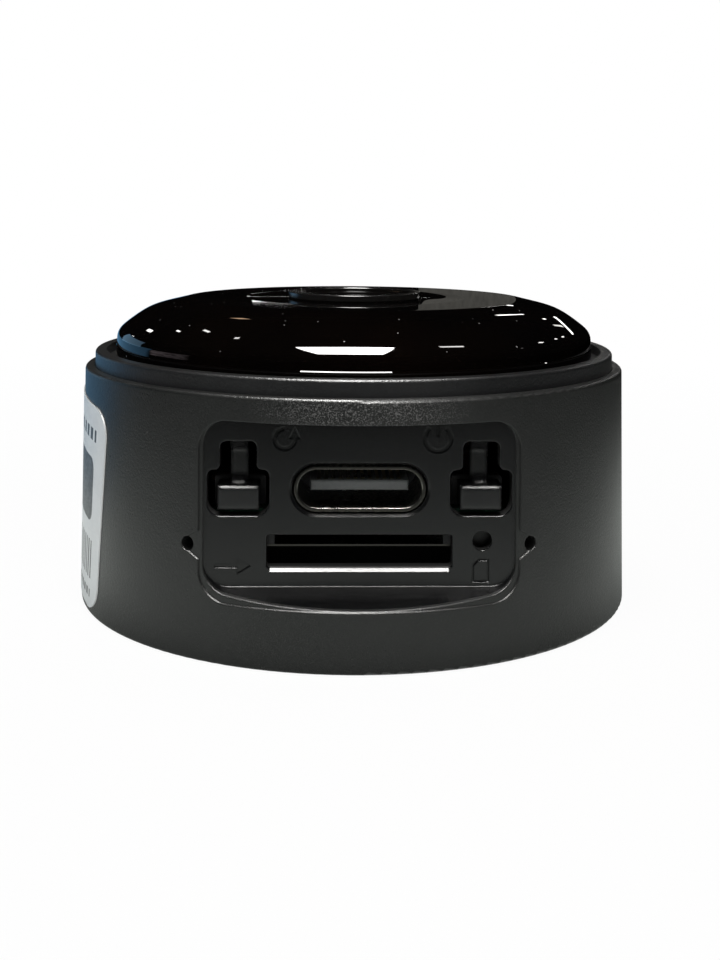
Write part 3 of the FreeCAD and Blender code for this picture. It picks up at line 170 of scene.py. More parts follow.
def shades(tree, value, stops):
    stops = list(stops)
    node = add(tree, "ShaderNodeValToRGB")
    ramp = node.color_ramp
    while len(ramp.elements) < len(stops):
        ramp.elements.new(0.5)
    for element, (place, colour) in zip(ramp.elements, stops):
        element.position = place
        element.color = (*colour, 1)
    tree.links.new(value, node.inputs["Fac"])
    return node.outputs["Color"]


def mixColour(tree, share, first, second):
    node = add(tree, "ShaderNodeMix", data_type="RGBA")
    feed(tree, node.inputs["Factor"], share)
    for socket, value in ((node.inputs[6], first), (node.inputs[7], second)):
        feed(tree, socket, value if isinstance(value, bpy.types.NodeSocket) else (*value, 1))
    return node.outputs[2]


def bump(tree, height, depth, strength=1.0, under=None):
    node = add(tree, "ShaderNodeBump")
    node.inputs["Strength"].default_value = strength
    node.inputs["Distance"].default_value = depth
    tree.links.new(height, node.inputs["Height"])
    if under is not None:
        tree.links.new(under, node.inputs["Normal"])
    return node.outputs["Normal"]


def softEdge(tree, radius, samples=6):
    # mould edges are never sharp: the shading rounds them, so that they catch the overhead light
    node = add(tree, "ShaderNodeBevel", samples=samples)
    feed(tree, node.inputs["Radius"], radius)
    return node.outputs["Normal"]


def scaled(colour, share):
    return tuple(part * share for part in colour)


# the general finish: patchy colour, grain, worn gloss

usualFinish = dict(
    change=0.18, stops=(0.3, 0.52, 0.75), patch=90, rough=(0.42, 0.6),
    stretch=(1, 1, 1), grain=5000, grainDetail=2, depth=0.00001,
    fleck=0.25, fleckRange=(0.35, 0.7), fleckShade=1.6, wear=700, speckSize=0.12, speck=0.12,
    metal=0.0, specular=0.5, coat=0.0, coatRough=0.1, clear=0.0, ior=1.5)


def finish(name, special):
    look = {**usualFinish, **special}
    material, tree, shader = startMaterial(name)
    colour = look["colour"]
    even = objectPoint(tree)
    patches = noise(tree, even, look["patch"], detail=4, rough=0.6)
    drawn = objectPoint(tree, look["stretch"])
    grain = noise(tree, drawn, look["grain"], detail=look["grainDetail"], rough=0.55)
    tones = [scaled(colour, 1 - look["change"]), colour, scaled(colour, 1 + look["change"])]
    base = shades(tree, patches, zip(look["stops"], tones))
    flecks = spread(tree, grain, *look["fleckRange"], 0.0, look["fleck"])
    base = mixColour(tree, flecks, base, look.get("fleckColour", scaled(colour, look["fleckShade"])))
    rough = vary(tree, patches, *look["rough"])
    specks = spread(tree, cells(tree, even, look["wear"]), 0.0, look["speckSize"], look["speck"], 0.0)
    shader.inputs["Metallic"].default_value = look["metal"]
    shader.inputs["Specular IOR Level"].default_value = look["specular"]
    shader.inputs["Coat Weight"].default_value = look["coat"]
    shader.inputs["Coat Roughness"].default_value = look["coatRough"]
    shader.inputs["Transmission Weight"].default_value = look["clear"]
    shader.inputs["IOR"].default_value = look["ior"]
    tree.links.new(base, shader.inputs["Base Color"])
    tree.links.new(sums(tree, "ADD", rough, specks, clamp=True), shader.inputs["Roughness"])
    rounded = softEdge(tree, look["edge"]) if "edge" in look else None
    tree.links.new(bump(tree, grain, look["depth"], under=rounded), shader.inputs["Normal"])
    return material


# finishes with a pattern of their own

shellLook = dict(
    colour=(0.0115, 0.0122, 0.0117), change=(0.82, 1.0, 1.22), stops=(0.28, 0.5, 0.74), patch=60,
    rough=(0.28, 0.37), specular=0.5, edge=0.00016,
    spark=6200, sparkDepth=0.000024, tips=0.35, tipRange=(0.52, 0.72), tipShade=2.1,
    fine=14000, fineDepth=0.000006, fineRough=(-0.05, 0.06),
    dust=420, dustSize=0.035, dustShare=0.5, dustColour=(0.19, 0.19, 0.185),
    # painted glints: light flecks on the front of the shoulder under the rim; this and the next two have
    # their places in millimetres
    glintPaint=dict(scale=10500, range=(0.5, 0.66), colour=(0.14, 0.14, 0.137), low=15.4, high=16.8, full=3.0,
             wide=7.6, least=0.03),
    # the sunken panel with its sill
    panel=dict(colour=(0.0055, 0.0057, 0.006), change=(0.8, 1.2), rough=(0.16, 0.25), edge=0.0001, pits=0.16,
               front=-21.1, side=12.0, low=1.2, high=17.8, reach=21.02),
    # its openings begin at the lip, the two for the buttons already at the panel's face; their walls get a
    # near-black colour, painted shade
    openings=dict(colour=(0.004, 0.004, 0.004), rough=(0.55, 0.68), face=-18.09, lip=-18.025, back=-14.0,
                  side=10.6, buttonSide=6.35, buttonLow=9.3))


def paintedGlints(tree, point, x, y, z, glintPaint):
    # painted glints: light flecks, only on the front, in a band under the rim that narrows to the sides
    tips = spread(tree, noise(tree, point, glintPaint["scale"], detail=2.0, rough=0.6), *glintPaint["range"], 0.0, 1.0)
    height = spread(tree, z, glintPaint["low"] * mm, glintPaint["high"] * mm, 0.0, 1.0)
    width = spread(tree, sums(tree, "ABSOLUTE", x), glintPaint["full"] * mm, glintPaint["wide"] * mm, 1.0, glintPaint["least"])
    return times(tree, tips, height, width, below(tree, y, 0.0))


def panelArea(tree, x, y, z, panel, lip):
    return times(tree, between(tree, x, -panel["side"] * mm, panel["side"] * mm),
                 between(tree, y, panel["front"] * mm, lip * mm),
                 between(tree, z, panel["low"] * mm, panel["high"] * mm),
                 below(tree, distanceFromAxis(tree, x, y), panel["reach"] * mm))


def shadedOpeningWalls(tree, x, y, z, panel, openings):
    aside = sums(tree, "ABSOLUTE", x)
    back = openings["back"] * mm
    atButtons = times(tree, above(tree, aside, openings["buttonSide"] * mm),
                      above(tree, z, openings["buttonLow"] * mm),
                      between(tree, y, openings["face"] * mm, back))
    behindLip = between(tree, y, openings["lip"] * mm, back)
    return times(tree, largest(tree, atButtons, behindLip), below(tree, aside, openings["side"] * mm),
                 between(tree, z, panel["low"] * mm, panel["high"] * mm))


def sparkPlastic(name, look):
    # spark-eroded mould surface: coarse pits with a fine grain between them
    material, tree, shader = startMaterial(name)
    colour, panel, openings = look["colour"], look["panel"], look["openings"]
    point = objectPoint(tree)
    x, y, z = coordinates(tree, point)
    patches = noise(tree, point, look["patch"], detail=4, rough=0.6)
    pits = noise(tree, point, look["spark"], detail=2.5, rough=0.62)
    fine = noise(tree, point, look["fine"], detail=2, rough=0.5)
    base = shades(tree, patches, zip(look["stops"], [scaled(colour, share) for share in look["change"]]))
    tips = spread(tree, pits, *look["tipRange"], 0.0, look["tips"])
    base = mixColour(tree, tips, base, scaled(colour, look["tipShade"]))
    dust = spread(tree, cells(tree, point, look["dust"]), 0.0, look["dustSize"], look["dustShare"], 0.0)
    base = mixColour(tree, dust, base, look["dustColour"])
    # painted glints on the shoulder under the rim
    base = mixColour(tree, paintedGlints(tree, point, x, y, z, look["glintPaint"]), base, look["glintPaint"]["colour"])
    rough = sums(tree, "ADD", vary(tree, patches, *look["rough"]), vary(tree, fine, *look["fineRough"]),
                 clamp=True)
    # the sunken panel is polished in the mould: darker, smoother, almost without the coarse pits
    inPanel = panelArea(tree, x, y, z, panel, openings["lip"])
    panelTones = [scaled(panel["colour"], share) for share in panel["change"]]
    panelBase = shades(tree, patches, zip(cloudRange, panelTones))
    base = mixColour(tree, inPanel, base, mixColour(tree, dust, panelBase, look["dustColour"]))
    rough = blend(tree, inPanel, rough, vary(tree, patches, *panel["rough"]))
    # painted shade: the walls of its openings and the floors of the engraved marks get a near-black colour,
    # and they are left dull
    inside = shadedOpeningWalls(tree, x, y, z, panel, openings)
    base = mixColour(tree, inside, base, openings["colour"])
    rough = blend(tree, inside, rough, vary(tree, patches, *openings["rough"]))
    height = times(tree, pits, spread(tree, inPanel, 0, 1, 1.0, panel["pits"]))
    edge = spread(tree, largest(tree, inPanel, inside), 0, 1, look["edge"], panel["edge"])
    coarse = bump(tree, height, look["sparkDepth"], under=softEdge(tree, edge))
    shader.inputs["Specular IOR Level"].default_value = look["specular"]
    tree.links.new(base, shader.inputs["Base Color"])
    tree.links.new(rough, shader.inputs["Roughness"])
    tree.links.new(bump(tree, fine, look["fineDepth"], under=coarse), shader.inputs["Normal"])
    return material


windowLook = dict(
    colour=(0.0012, 0.0010, 0.0010), warm=(0.0030, 0.0018, 0.0013), cast=70, castRange=(0.35, 0.7),
    specular=0.5, dust=800, dustSize=0.06, dustColour=(0.5, 0.5, 0.5), dustRough=0.5,
    wipes=240, wipeRange=(0.42, 0.75), wipeStretch=(1, 3.5, 3.5), wipeTurn=(0.3, 0.2, 0.7),
    rough=(0.012, 0.035),
    swell=110, swellDepth=0.00001, swellStrength=0.25)


def pianoBlack(name, look):
    # polished infrared plastic: almost black with a brown cast, a few dust specks and faint wipe marks
    material, tree, shader = startMaterial(name)
    point = objectPoint(tree)
    cast = noise(tree, point, look["cast"], detail=3)
    dust = spread(tree, cells(tree, point, look["dust"]), 0.0, look["dustSize"], 1.0, 0.0)
    base = shades(tree, cast, zip(look["castRange"], (look["colour"], look["warm"])))
    base = mixColour(tree, dust, base, look["dustColour"])
    wiped = objectPoint(tree, look["wipeStretch"], look["wipeTurn"])
    wipes = noise(tree, wiped, look["wipes"], detail=3, rough=0.6, twist=0.4)
    rough = spread(tree, wipes, *look["wipeRange"], *look["rough"])
    rough = sums(tree, "MULTIPLY_ADD", dust, look["dustRough"], rough, clamp=True)
    swell = noise(tree, point, look["swell"], detail=1, rough=0.4)
    tree.links.new(base, shader.inputs["Base Color"])
    tree.links.new(rough, shader.inputs["Roughness"])
    tree.links.new(bump(tree, swell, look["swellDepth"], look["swellStrength"]), shader.inputs["Normal"])
    shader.inputs["Specular IOR Level"].default_value = look["specular"]
    return material


labelLook = dict(
    radius=21.4, middle=8.85, tilt=5.0, paper=(0.62, 0.635, 0.63), patch=120, patchShade=0.95,
    ink=(0.05, 0.052, 0.053), fade=2600, fadeRange=(0.3, 0.6), faded=0.9, rough=(0.34, 0.46),
    fibres=1500, fibreStretch=(1, 1, 3), fibreRange=(0.4, 0.7), fibreShare=0.12, fibreShade=0.85,
    fibreDepth=0.000006, fibreStrength=0.6,
    # rows of dashes: low, high, left, right, pitch and the inked share, in millimetres on the flat sticker
    rows=[(5.0, 5.9, -9.2, 9.6, 1.15, 0.62), (3.2, 3.75, -9.2, 1.5, 0.9, 0.6),
          (1.9, 2.45, -9.2, -0.5, 0.9, 0.6), (0.6, 1.15, -9.2, 0.8, 0.9, 0.6),
          (-5.3, -2.4, -9.2, 9.6, 0.62, 0.5), (-6.7, -6.1, -9.2, 9.6, 0.85, 0.6)],
    # one block: left, right, low, high and its corner radius
    block=(3.6, 9.3, -1.1, 3.7, 0.9))


def dashes(tree, across, up, row):
    low, high, left, right, pitch, share = row
    step = sums(tree, "FRACT", sums(tree, "DIVIDE", across, pitch))
    return times(tree, between(tree, up, low, high), between(tree, across, left, right),
                 below(tree, step, share))


def roundedBlock(tree, across, up, block):
    # the part of the sticker that lies nearer than the corner radius to a smaller plain rectangle
    left, right, low, high, corner = block
    past = []
    for value, start, end in ((across, left, right), (up, low, high)):
        fromMiddle = sums(tree, "ABSOLUTE", sums(tree, "SUBTRACT", value, (start + end) / 2))
        past.append(largest(tree, sums(tree, "SUBTRACT", fromMiddle, (end - start) / 2 - corner), 0))
    square = sums(tree, "MULTIPLY_ADD", past[0], past[0], times(tree, past[1], past[1]))
    return below(tree, sums(tree, "SQRT", square), corner)


def printedLabel(name, look):
    # satin sticker wrapped round the side; its print is plain: dashes, a block and even bars
    material, tree, shader = startMaterial(name)
    point = objectPoint(tree)
    y, z = coordinates(tree, point)[1:]
    # unwrap the side to a flat sheet in millimetres, then tilt it
    angle = sums(tree, "ARCSINE", sums(tree, "DIVIDE", y, -look["radius"] * mm))
    around = times(tree, angle, look["radius"])
    height = sums(tree, "MULTIPLY_ADD", z, 1 / mm, -look["middle"])
    tilt = math.radians(look["tilt"])
    across = sums(tree, "SUBTRACT", times(tree, around, math.cos(tilt)), times(tree, height, math.sin(tilt)))
    up = sums(tree, "MULTIPLY_ADD", around, math.sin(tilt), times(tree, height, math.cos(tilt)))
    ink = largest(tree, roundedBlock(tree, across, up, look["block"]),
                  *(dashes(tree, across, up, row) for row in look["rows"]))
    fade = noise(tree, point, look["fade"], detail=2, rough=0.6)
    inked = times(tree, ink, spread(tree, fade, *look["fadeRange"], look["faded"], 1.0))
    fibres = noise(tree, objectPoint(tree, look["fibreStretch"]), look["fibres"], detail=4, rough=0.6)
    patches = noise(tree, point, look["patch"], detail=3)
    paper = shades(tree, patches, zip(cloudRange, (scaled(look["paper"], look["patchShade"]), look["paper"])))
    fibreShare = spread(tree, fibres, *look["fibreRange"], 0.0, look["fibreShare"])
    paper = mixColour(tree, fibreShare, paper, scaled(look["paper"], look["fibreShade"]))
    tree.links.new(mixColour(tree, inked, paper, look["ink"]), shader.inputs["Base Color"])
    tree.links.new(vary(tree, fibres, *look["rough"]), shader.inputs["Roughness"])
    tree.links.new(bump(tree, fibres, look["fibreDepth"], look["fibreStrength"]), shader.inputs["Normal"])
    return material


boardLooks = {
    "board_laminate": dict(mask=(0.005, 0.022, 0.013), copper=(0.012, 0.05, 0.028), runs=260, vias=420),
    "led_board_laminate": dict(mask=(0.012, 0.012, 0.014), copper=(0.04, 0.04, 0.042), runs=200, vias=300),
}
usualBoard = dict(
    runGap=0.03, runShade=0.75, runHeight=0.6,
    patch=150, patchRange=(0.35, 0.7), patchShare=0.5, patchShade=0.6,
    viaSize=(0.05, 0.09), viaShare=0.9, viaColour=(0.5, 0.42, 0.2),
    weave=1800, weaveStretch=(1, 6, 1), rough=(0.22, 0.4), depth=0.00001, strength=0.6)


def boardMask(name, special):
    # solder mask over copper: traces as a grid of short runs, darker where the mask lies on bare laminate
    look = {**usualBoard, **special}
    material, tree, shader = startMaterial(name)
    point = objectPoint(tree)
    runs = add(tree, "ShaderNodeTexBrick")
    tree.links.new(point, runs.inputs["Vector"])
    runs.inputs["Scale"].default_value = look["runs"]
    runs.inputs["Mortar Size"].default_value = look["runGap"]
    runs.inputs["Color1"].default_value = (*look["mask"], 1)
    runs.inputs["Color2"].default_value = (*scaled(look["mask"], look["runShade"]), 1)
    runs.inputs["Mortar"].default_value = (*look["copper"], 1)
    patches = noise(tree, point, look["patch"], detail=4, rough=0.6)
    bareShare = spread(tree, patches, *look["patchRange"], 0.0, look["patchShare"])
    base = mixColour(tree, bareShare, runs.outputs["Color"], scaled(look["mask"], look["patchShade"]))
    vias = spread(tree, cells(tree, point, look["vias"]), *look["viaSize"], look["viaShare"], 0.0)
    weave = noise(tree, objectPoint(tree, look["weaveStretch"]), look["weave"], detail=2)
    raised = sums(tree, "MULTIPLY_ADD", runs.outputs["Fac"], look["runHeight"], weave)
    tree.links.new(mixColour(tree, vias, base, look["viaColour"]), shader.inputs["Base Color"])
    tree.links.new(vary(tree, patches, *look["rough"]), shader.inputs["Roughness"])
    tree.links.new(bump(tree, raised, look["depth"], look["strength"]), shader.inputs["Normal"])
    return material


# one finish for every other material slot of the part; lengths in metres, scales in patterns per metre

slotLooks = {
    "bezel_plastic": dict(colour=(0.011, 0.0113, 0.012), rough=(0.28, 0.38), grain=6200, depth=0.00003,
                          speck=0.2, fleck=0.2, edge=0.00014),
    "button_plastic": dict(colour=(0.0105, 0.0107, 0.011), rough=(0.14, 0.24), grain=9000, depth=0.000004,
                           change=0.25, fleck=0.3, edge=0.0004),
    "adhesive": dict(colour=(0.02, 0.02, 0.022), rough=(0.5, 0.7), grain=1500, depth=0.00002),
    "collar_plastic": dict(colour=(0.0055, 0.005, 0.0046), rough=(0.14, 0.24), grain=7000, depth=0.000003,
                           fleck=0.3, fleckColour=(0.02, 0.02, 0.02)),
    "seal_rubber": dict(colour=(0.011, 0.011, 0.011), rough=(0.6, 0.8), grain=2500, depth=0.00002),
    "barrel_metal": dict(colour=(0.03, 0.03, 0.034), metal=0.7, rough=(0.3, 0.45), stretch=(1, 1, 14),
                         grain=1500, depth=0.000006),
    "lens_glass": dict(colour=(0.93, 0.88, 0.97), clear=0.92, ior=1.6, rough=(0.0, 0.02), grain=300,
                       depth=0.000001, change=0.05, fleck=0.05, speck=0.03, coat=0.6, coatRough=0.02),
    "holder_plastic": dict(colour=(0.018, 0.018, 0.018), rough=(0.45, 0.6)),
    "filter_glass": dict(colour=(0.6, 0.85, 0.8), clear=0.85, ior=1.52, rough=(0.01, 0.04), grain=400,
                         depth=0.000001, change=0.08, fleck=0.05),
    "sensor_package": dict(colour=(0.05, 0.055, 0.07), rough=(0.15, 0.3), grain=3000, fleck=0.4,
                           fleckColour=(0.12, 0.1, 0.2)),
    "screw_steel": dict(colour=(0.12, 0.12, 0.125), metal=1.0, rough=(0.3, 0.5), stretch=(1, 1, 8),
                        grain=2500, depth=0.000008),
    "socket_metal": dict(colour=(0.46, 0.44, 0.41), metal=1.0, rough=(0.2, 0.34), stretch=(7, 1, 7),
                         grain=1600, depth=0.000004, change=0.3, fleck=0.3, fleckColour=(0.7, 0.68, 0.64),
                         edge=0.00005),
    "socket_plastic": dict(colour=(0.016, 0.016, 0.017), rough=(0.4, 0.55), grain=6000),
    "tongue_plastic": dict(colour=(0.078, 0.083, 0.082), rough=(0.34, 0.5), grain=6000, depth=0.000006),
    # darker and greyer than bare gold: painted shade for the contacts deep in the socket
    "gold_contacts": dict(colour=(0.42, 0.36, 0.24), metal=1.0, rough=(0.2, 0.36), stretch=(1, 9, 1),
                          grain=2500, depth=0.000004),
    "slider_plastic": dict(colour=(0.6, 0.59, 0.54), rough=(0.4, 0.55), grain=4000),
    "spring_steel": dict(colour=(0.55, 0.55, 0.56), metal=1.0, rough=(0.18, 0.3)),
    "switch_body": dict(colour=(0.03, 0.03, 0.03), rough=(0.42, 0.58), grain=6000),
    "plunger_plastic": dict(colour=(0.6, 0.54, 0.43), rough=(0.4, 0.55), grain=4000),
    # the status lights' resin is near black: painted shade for their dark holes
    "led_resin": dict(colour=(0.012, 0.012, 0.0115), rough=(0.3, 0.45), grain=2500, change=0.2),
    "microphone_can": dict(colour=(0.55, 0.55, 0.53), metal=1.0, rough=(0.25, 0.4), stretch=(8, 1, 1),
                           grain=2000),
    "battery_foil": dict(colour=(0.58, 0.59, 0.61), metal=0.9, rough=(0.3, 0.5), grain=420, grainDetail=5,
                         depth=0.00006, change=0.1, patch=160),
    "tape_amber": dict(colour=(0.5, 0.24, 0.03), rough=(0.15, 0.3), grain=500, depth=0.00003, coat=0.3),
    "foam_black": dict(colour=(0.02, 0.02, 0.02), rough=(0.75, 0.95), grain=2600, depth=0.00006),
    "wire_red": dict(colour=(0.42, 0.015, 0.012), rough=(0.35, 0.5), grain=3000, change=0.12),
    "wire_black": dict(colour=(0.015, 0.015, 0.016), rough=(0.35, 0.5), grain=3000),
    "connector_nylon": dict(colour=(0.72, 0.70, 0.63), rough=(0.4, 0.55), grain=3500, change=0.08),
    "magnet_nickel": dict(colour=(0.66, 0.65, 0.62), metal=1.0, rough=(0.12, 0.24), grain=1800,
                          depth=0.000004),
    "chip_epoxy": dict(colour=(0.014, 0.014, 0.015), rough=(0.45, 0.65), grain=4500, depth=0.000012),
    "module_can": dict(colour=(0.58, 0.58, 0.56), metal=1.0, rough=(0.24, 0.38), stretch=(1, 12, 1),
                       grain=1500, depth=0.000005),
    "antenna_film": dict(colour=(0.10, 0.05, 0.015), rough=(0.2, 0.34), grain=1200, fleck=0.5,
                         fleckColour=(0.4, 0.22, 0.08)),
    "plug_gold": dict(colour=(0.72, 0.54, 0.24), metal=1.0, rough=(0.2, 0.34), grain=3000),
    "lead_grey": dict(colour=(0.11, 0.11, 0.115), rough=(0.4, 0.55), grain=3000),
    "infrared_resin": dict(colour=(0.06, 0.05, 0.065), rough=(0.08, 0.2), grain=1500, coat=0.5,
                           coatRough=0.03),
    "header_nylon": dict(colour=(0.02, 0.02, 0.02), rough=(0.42, 0.58), grain=4000),
    "small_ceramics": dict(colour=(0.30, 0.18, 0.09), rough=(0.3, 0.5), grain=2200, change=0.4, patch=300,
                           fleck=0.5, fleckColour=(0.55, 0.55, 0.52)),
}
materials = {slot: finish(slot, look) for slot, look in slotLooks.items()}
materials["shell_plastic"] = sparkPlastic("shell_plastic", shellLook)
materials["window_plastic"] = pianoBlack("window_plastic", windowLook)
materials["label_film"] = printedLabel("label_film", labelLook)
for slot, look in boardLooks.items():
    materials[slot] = boardMask(slot, look)


# three finishes change within their piece

# painted shade: the front end of the cell, seen through the card slot, is made black as if taped
tape = dict(front=-12.6, colour=(0.004, 0.004, 0.004))
# face: the dark colour of the lip's face, painted shade; the scuffs are wear on its edges
lip = dict(face=(0.07, 0.067, 0.062), flat=0.97, turned=0.8, scuffs=3800, scuffRange=(0.4, 0.6),
           leastScuff=0.25)
# colour: painted shade for the inside of the mouth
mouth = dict(radius=4.44, gloss=0.07, colour=(0.003, 0.0026, 0.0024))


def blackTapeShade(material, look):
    # painted shade: black tape is put on the front end of the cell; it swallows the light that falls in
    # through the card slot, so that the slot looks shaded inside
    tree = material.node_tree
    shader = tree.nodes["Principled BSDF"]
    tapedInShade = below(tree, coordinates(tree, objectPoint(tree))["Y"], look["front"] * mm)
    bare = shader.inputs["Base Color"].links[0].from_socket
    metal = shader.inputs["Metallic"]
    tree.links.new(mixColour(tree, tapedInShade, bare, look["colour"]), shader.inputs["Base Color"])
    tree.links.new(spread(tree, tapedInShade, 0, 1, metal.default_value, 0), metal)


def lipWornAndShaded(material, look):
    # plugs have rubbed the rounded edges of the socket's lip bright, which is wear; the face that looks to
    # the front is given a dark colour, painted shade
    tree = material.node_tree
    shader = tree.nodes["Principled BSDF"]
    shape = add(tree, "ShaderNodeNewGeometry")
    facing = sums(tree, "ABSOLUTE", coordinates(tree, shape.outputs["Normal"])["Y"])
    turnedAway = spread(tree, facing, look["flat"], look["turned"], 0, 1)
    scuffs = noise(tree, objectPoint(tree), look["scuffs"], detail=3, rough=0.65)
    scuffs = spread(tree, scuffs, *look["scuffRange"], look["leastScuff"], 1)
    bare = shader.inputs["Base Color"].links[0].from_socket
    wornEdgesShadedFace = mixColour(tree, times(tree, turnedAway, scuffs), look["face"], bare)
    tree.links.new(wornEdgesShadedFace, shader.inputs["Base Color"])


def dullShadedMouth(material, look):
    # the stepped mouth of the lens collar is left matt, so that it throws no light into the lens; its darker
    # colour is painted shade, as the mouth lies in shade
    tree = material.node_tree
    shader = tree.nodes["Principled BSDF"]
    x, y = coordinates(tree, objectPoint(tree))[:2]
    inMouth = below(tree, distanceFromAxis(tree, x, y), look["radius"] * mm)
    gloss = shader.inputs["Specular IOR Level"]
    bare = shader.inputs["Base Color"].links[0].from_socket
    tree.links.new(spread(tree, inMouth, 0, 1, gloss.default_value, look["gloss"]), gloss)
    tree.links.new(mixColour(tree, inMouth, bare, look["colour"]), shader.inputs["Base Color"])


blackTapeShade(materials["battery_foil"], tape)
lipWornAndShaded(materials["socket_metal"], lip)
dullShadedMouth(materials["collar_plastic"], mouth)
print("finishes:", len(materials))

for node in nodes.values():
    for place, old in enumerate(node.data.materials):
        node.data.materials[place] = materials[old.name]
print("dressed nodes:", len(nodes))


# turned pieces: rings pulled up one after another from a circle, then closed to a solid

def clearSelection():
    if bpy.context.object and bpy.context.object.mode != "OBJECT":
        bpy.ops.object.mode_set(mode="OBJECT")
    bpy.ops.object.select_all(action="DESELECT")


def bend(start, corner, end, steps):
    # from start to end along a curve that the corner pulls at
    points = []
    for step in range(steps + 1):
        share = step / steps
        point = (1 - share) ** 2 * start + 2 * share * (1 - share) * corner + share ** 2 * end
        points.append(tuple(point))
    return points


def softCorners(corners, steps):
    # a corner with a third number is rounded: it says how far back the round begins
    outline = []
    for count, corner in enumerate(corners):
        if len(corner) == 2:
            outline.append(corner)
            continue
        here = Vector(corner[:2])
        start, end = (here + (Vector(near[:2]) - here).normalized() * corner[2]
                      for near in (corners[count - 1], corners[count + 1]))
        outline += bend(start, here, end, steps)
    return outline


def smoothCurve(passes, steps):
    # through all the points, in the direction and with the pull that each one has beside it
    outline = []
    for (start, startLean), (end, endLean), count in zip(passes, passes[1:], steps):
        start, end = Vector((*start, 0)), Vector((*end, 0))
        reach = (end - start).length / 3
        points = interpolate_bezier(start, start + Vector((*startLean, 0)) * reach,
                                    end - Vector((*endLean, 0)) * reach, end, count + 1)
        outline += [tuple(point[:2]) for point in points[:-1]]
    return outline


def turnedPiece(name, outline, look, slot, replaced):
    clearSelection()
    radius, height = outline[0]
    bpy.ops.mesh.primitive_circle_add(vertices=look["segments"], radius=radius * mm,
                                      location=(0, 0, height * mm))
    piece = bpy.context.object
    piece.name = name
    bpy.ops.object.transform_apply(location=True, rotation=True, scale=True)
    bpy.ops.object.mode_set(mode="EDIT")
    bpy.ops.mesh.select_all(action="SELECT")
    for nextRadius, nextHeight in outline[1:]:
        bpy.ops.mesh.extrude_edges_move(TRANSFORM_OT_translate={"value": (0, 0, (nextHeight - height) * mm)})
        grow = nextRadius / radius
        bpy.ops.transform.resize(value=(grow, grow, 1), center_override=(0, 0, nextHeight * mm))
        radius, height = nextRadius, nextHeight
    bpy.ops.mesh.select_all(action="DESELECT")
    bpy.ops.mesh.select_mode(type="EDGE")
    bpy.ops.mesh.select_non_manifold(extend=False, use_wire=False, use_boundary=True, use_multi_face=False,
                                     use_non_contiguous=False, use_verts=False)
    bpy.ops.mesh.bridge_edge_loops()
    bpy.ops.mesh.select_all(action="SELECT")
    bpy.ops.mesh.normals_make_consistent(inside=False)
    bpy.ops.object.mode_set(mode="OBJECT")
    bpy.ops.object.shade_smooth_by_angle(angle=math.radians(look["sharp"]))
    piece.data.materials.append(materials[slot])
    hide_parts(*replaced)
    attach(piece, "camera_body")


# radius and height in millimetres, from the foot up over the shoulder to the bore, then back inside
dome = dict(
    segments=240, sharp=40,
    # a band at the foot stands a little proud and catches the overhead light
    foot=[(18.8, 17.65), (18.8, 18.3), (18.86, 18.36), (18.86, 19.44), (18.8, 19.5)],
    # a shoulder's points, each with the direction and pull of the curve there
    shoulder=[((18.8, 20.0), (0.0, 1.35)), ((18.12, 21.15), (-0.803, 0.625)),
              ((16.92, 22.0), (-0.756, 0.464)), ((13.42, 23.1), (-1.685, 0.42))],
    shoulderSteps=(10, 6, 14),
    # crease, flat middle, bore with a chamfer and the flat inside
    middle=[(13.42, 23.1, 0.07), (12.6, 23.1), (9.0, 23.1), (5.0, 23.1), (4.95, 23.06), (4.95, 21.9),
            (13.42, 21.9)],
    insideShoulder=[((16.2, 20.8), (1.113, -0.017)), ((17.6, 19.7), (0.28, -1.078))],
    insideSteps=(4,),
    insideFoot=[(17.6, 19.7), (17.6, 17.65)])
domeCorners = (dome["foot"] + smoothCurve(dome["shoulder"], dome["shoulderSteps"]) + dome["middle"]
               + smoothCurve(dome["insideShoulder"], dome["insideSteps"]) + dome["insideFoot"])
turnedPiece("windowDome", softCorners(domeCorners, 2), dome, "window_plastic", ["front_window"])

collar = dict(
    segments=160, sharp=40,
    flange=[(4.9, 22.3), (4.9, 23.1), (5.27, 23.1), (5.3, 23.13), (5.3, 23.58, 0.11), (4.5, 23.58, 0.07),
            (4.42, 23.48)],
    # the mouth narrows in steps, each with a raised edge
    steps=[(4.08, 23.3), (3.56, 23.02)],
    edge=[(0, 0), (-0.098, 0.0155, 0.035), (-0.1165, -0.039), (-0.14, -0.0725)],
    throat=[(2.7, 22.602, 0.08), (2.7, 22.3)])
collarCorners = list(collar["flange"])
for radius, height in collar["steps"]:
    collarCorners += [(radius + out, height + rise, *soft) for out, rise, *soft in collar["edge"]]
turnedPiece("lensCollarRing", softCorners(collarCorners + collar["throat"], 4), collar, "collar_plastic",
            ["lens_collar"])
print("turned pieces stand")


# stage: pale floor, soft lights and the camera at the photo's angle

floorLook = dict(
    size=8.0, drop=0.00002, shades=(0.86, 0.89), clouds=3, rough=0.9, show=0.95, near=0.04, far=0.16)


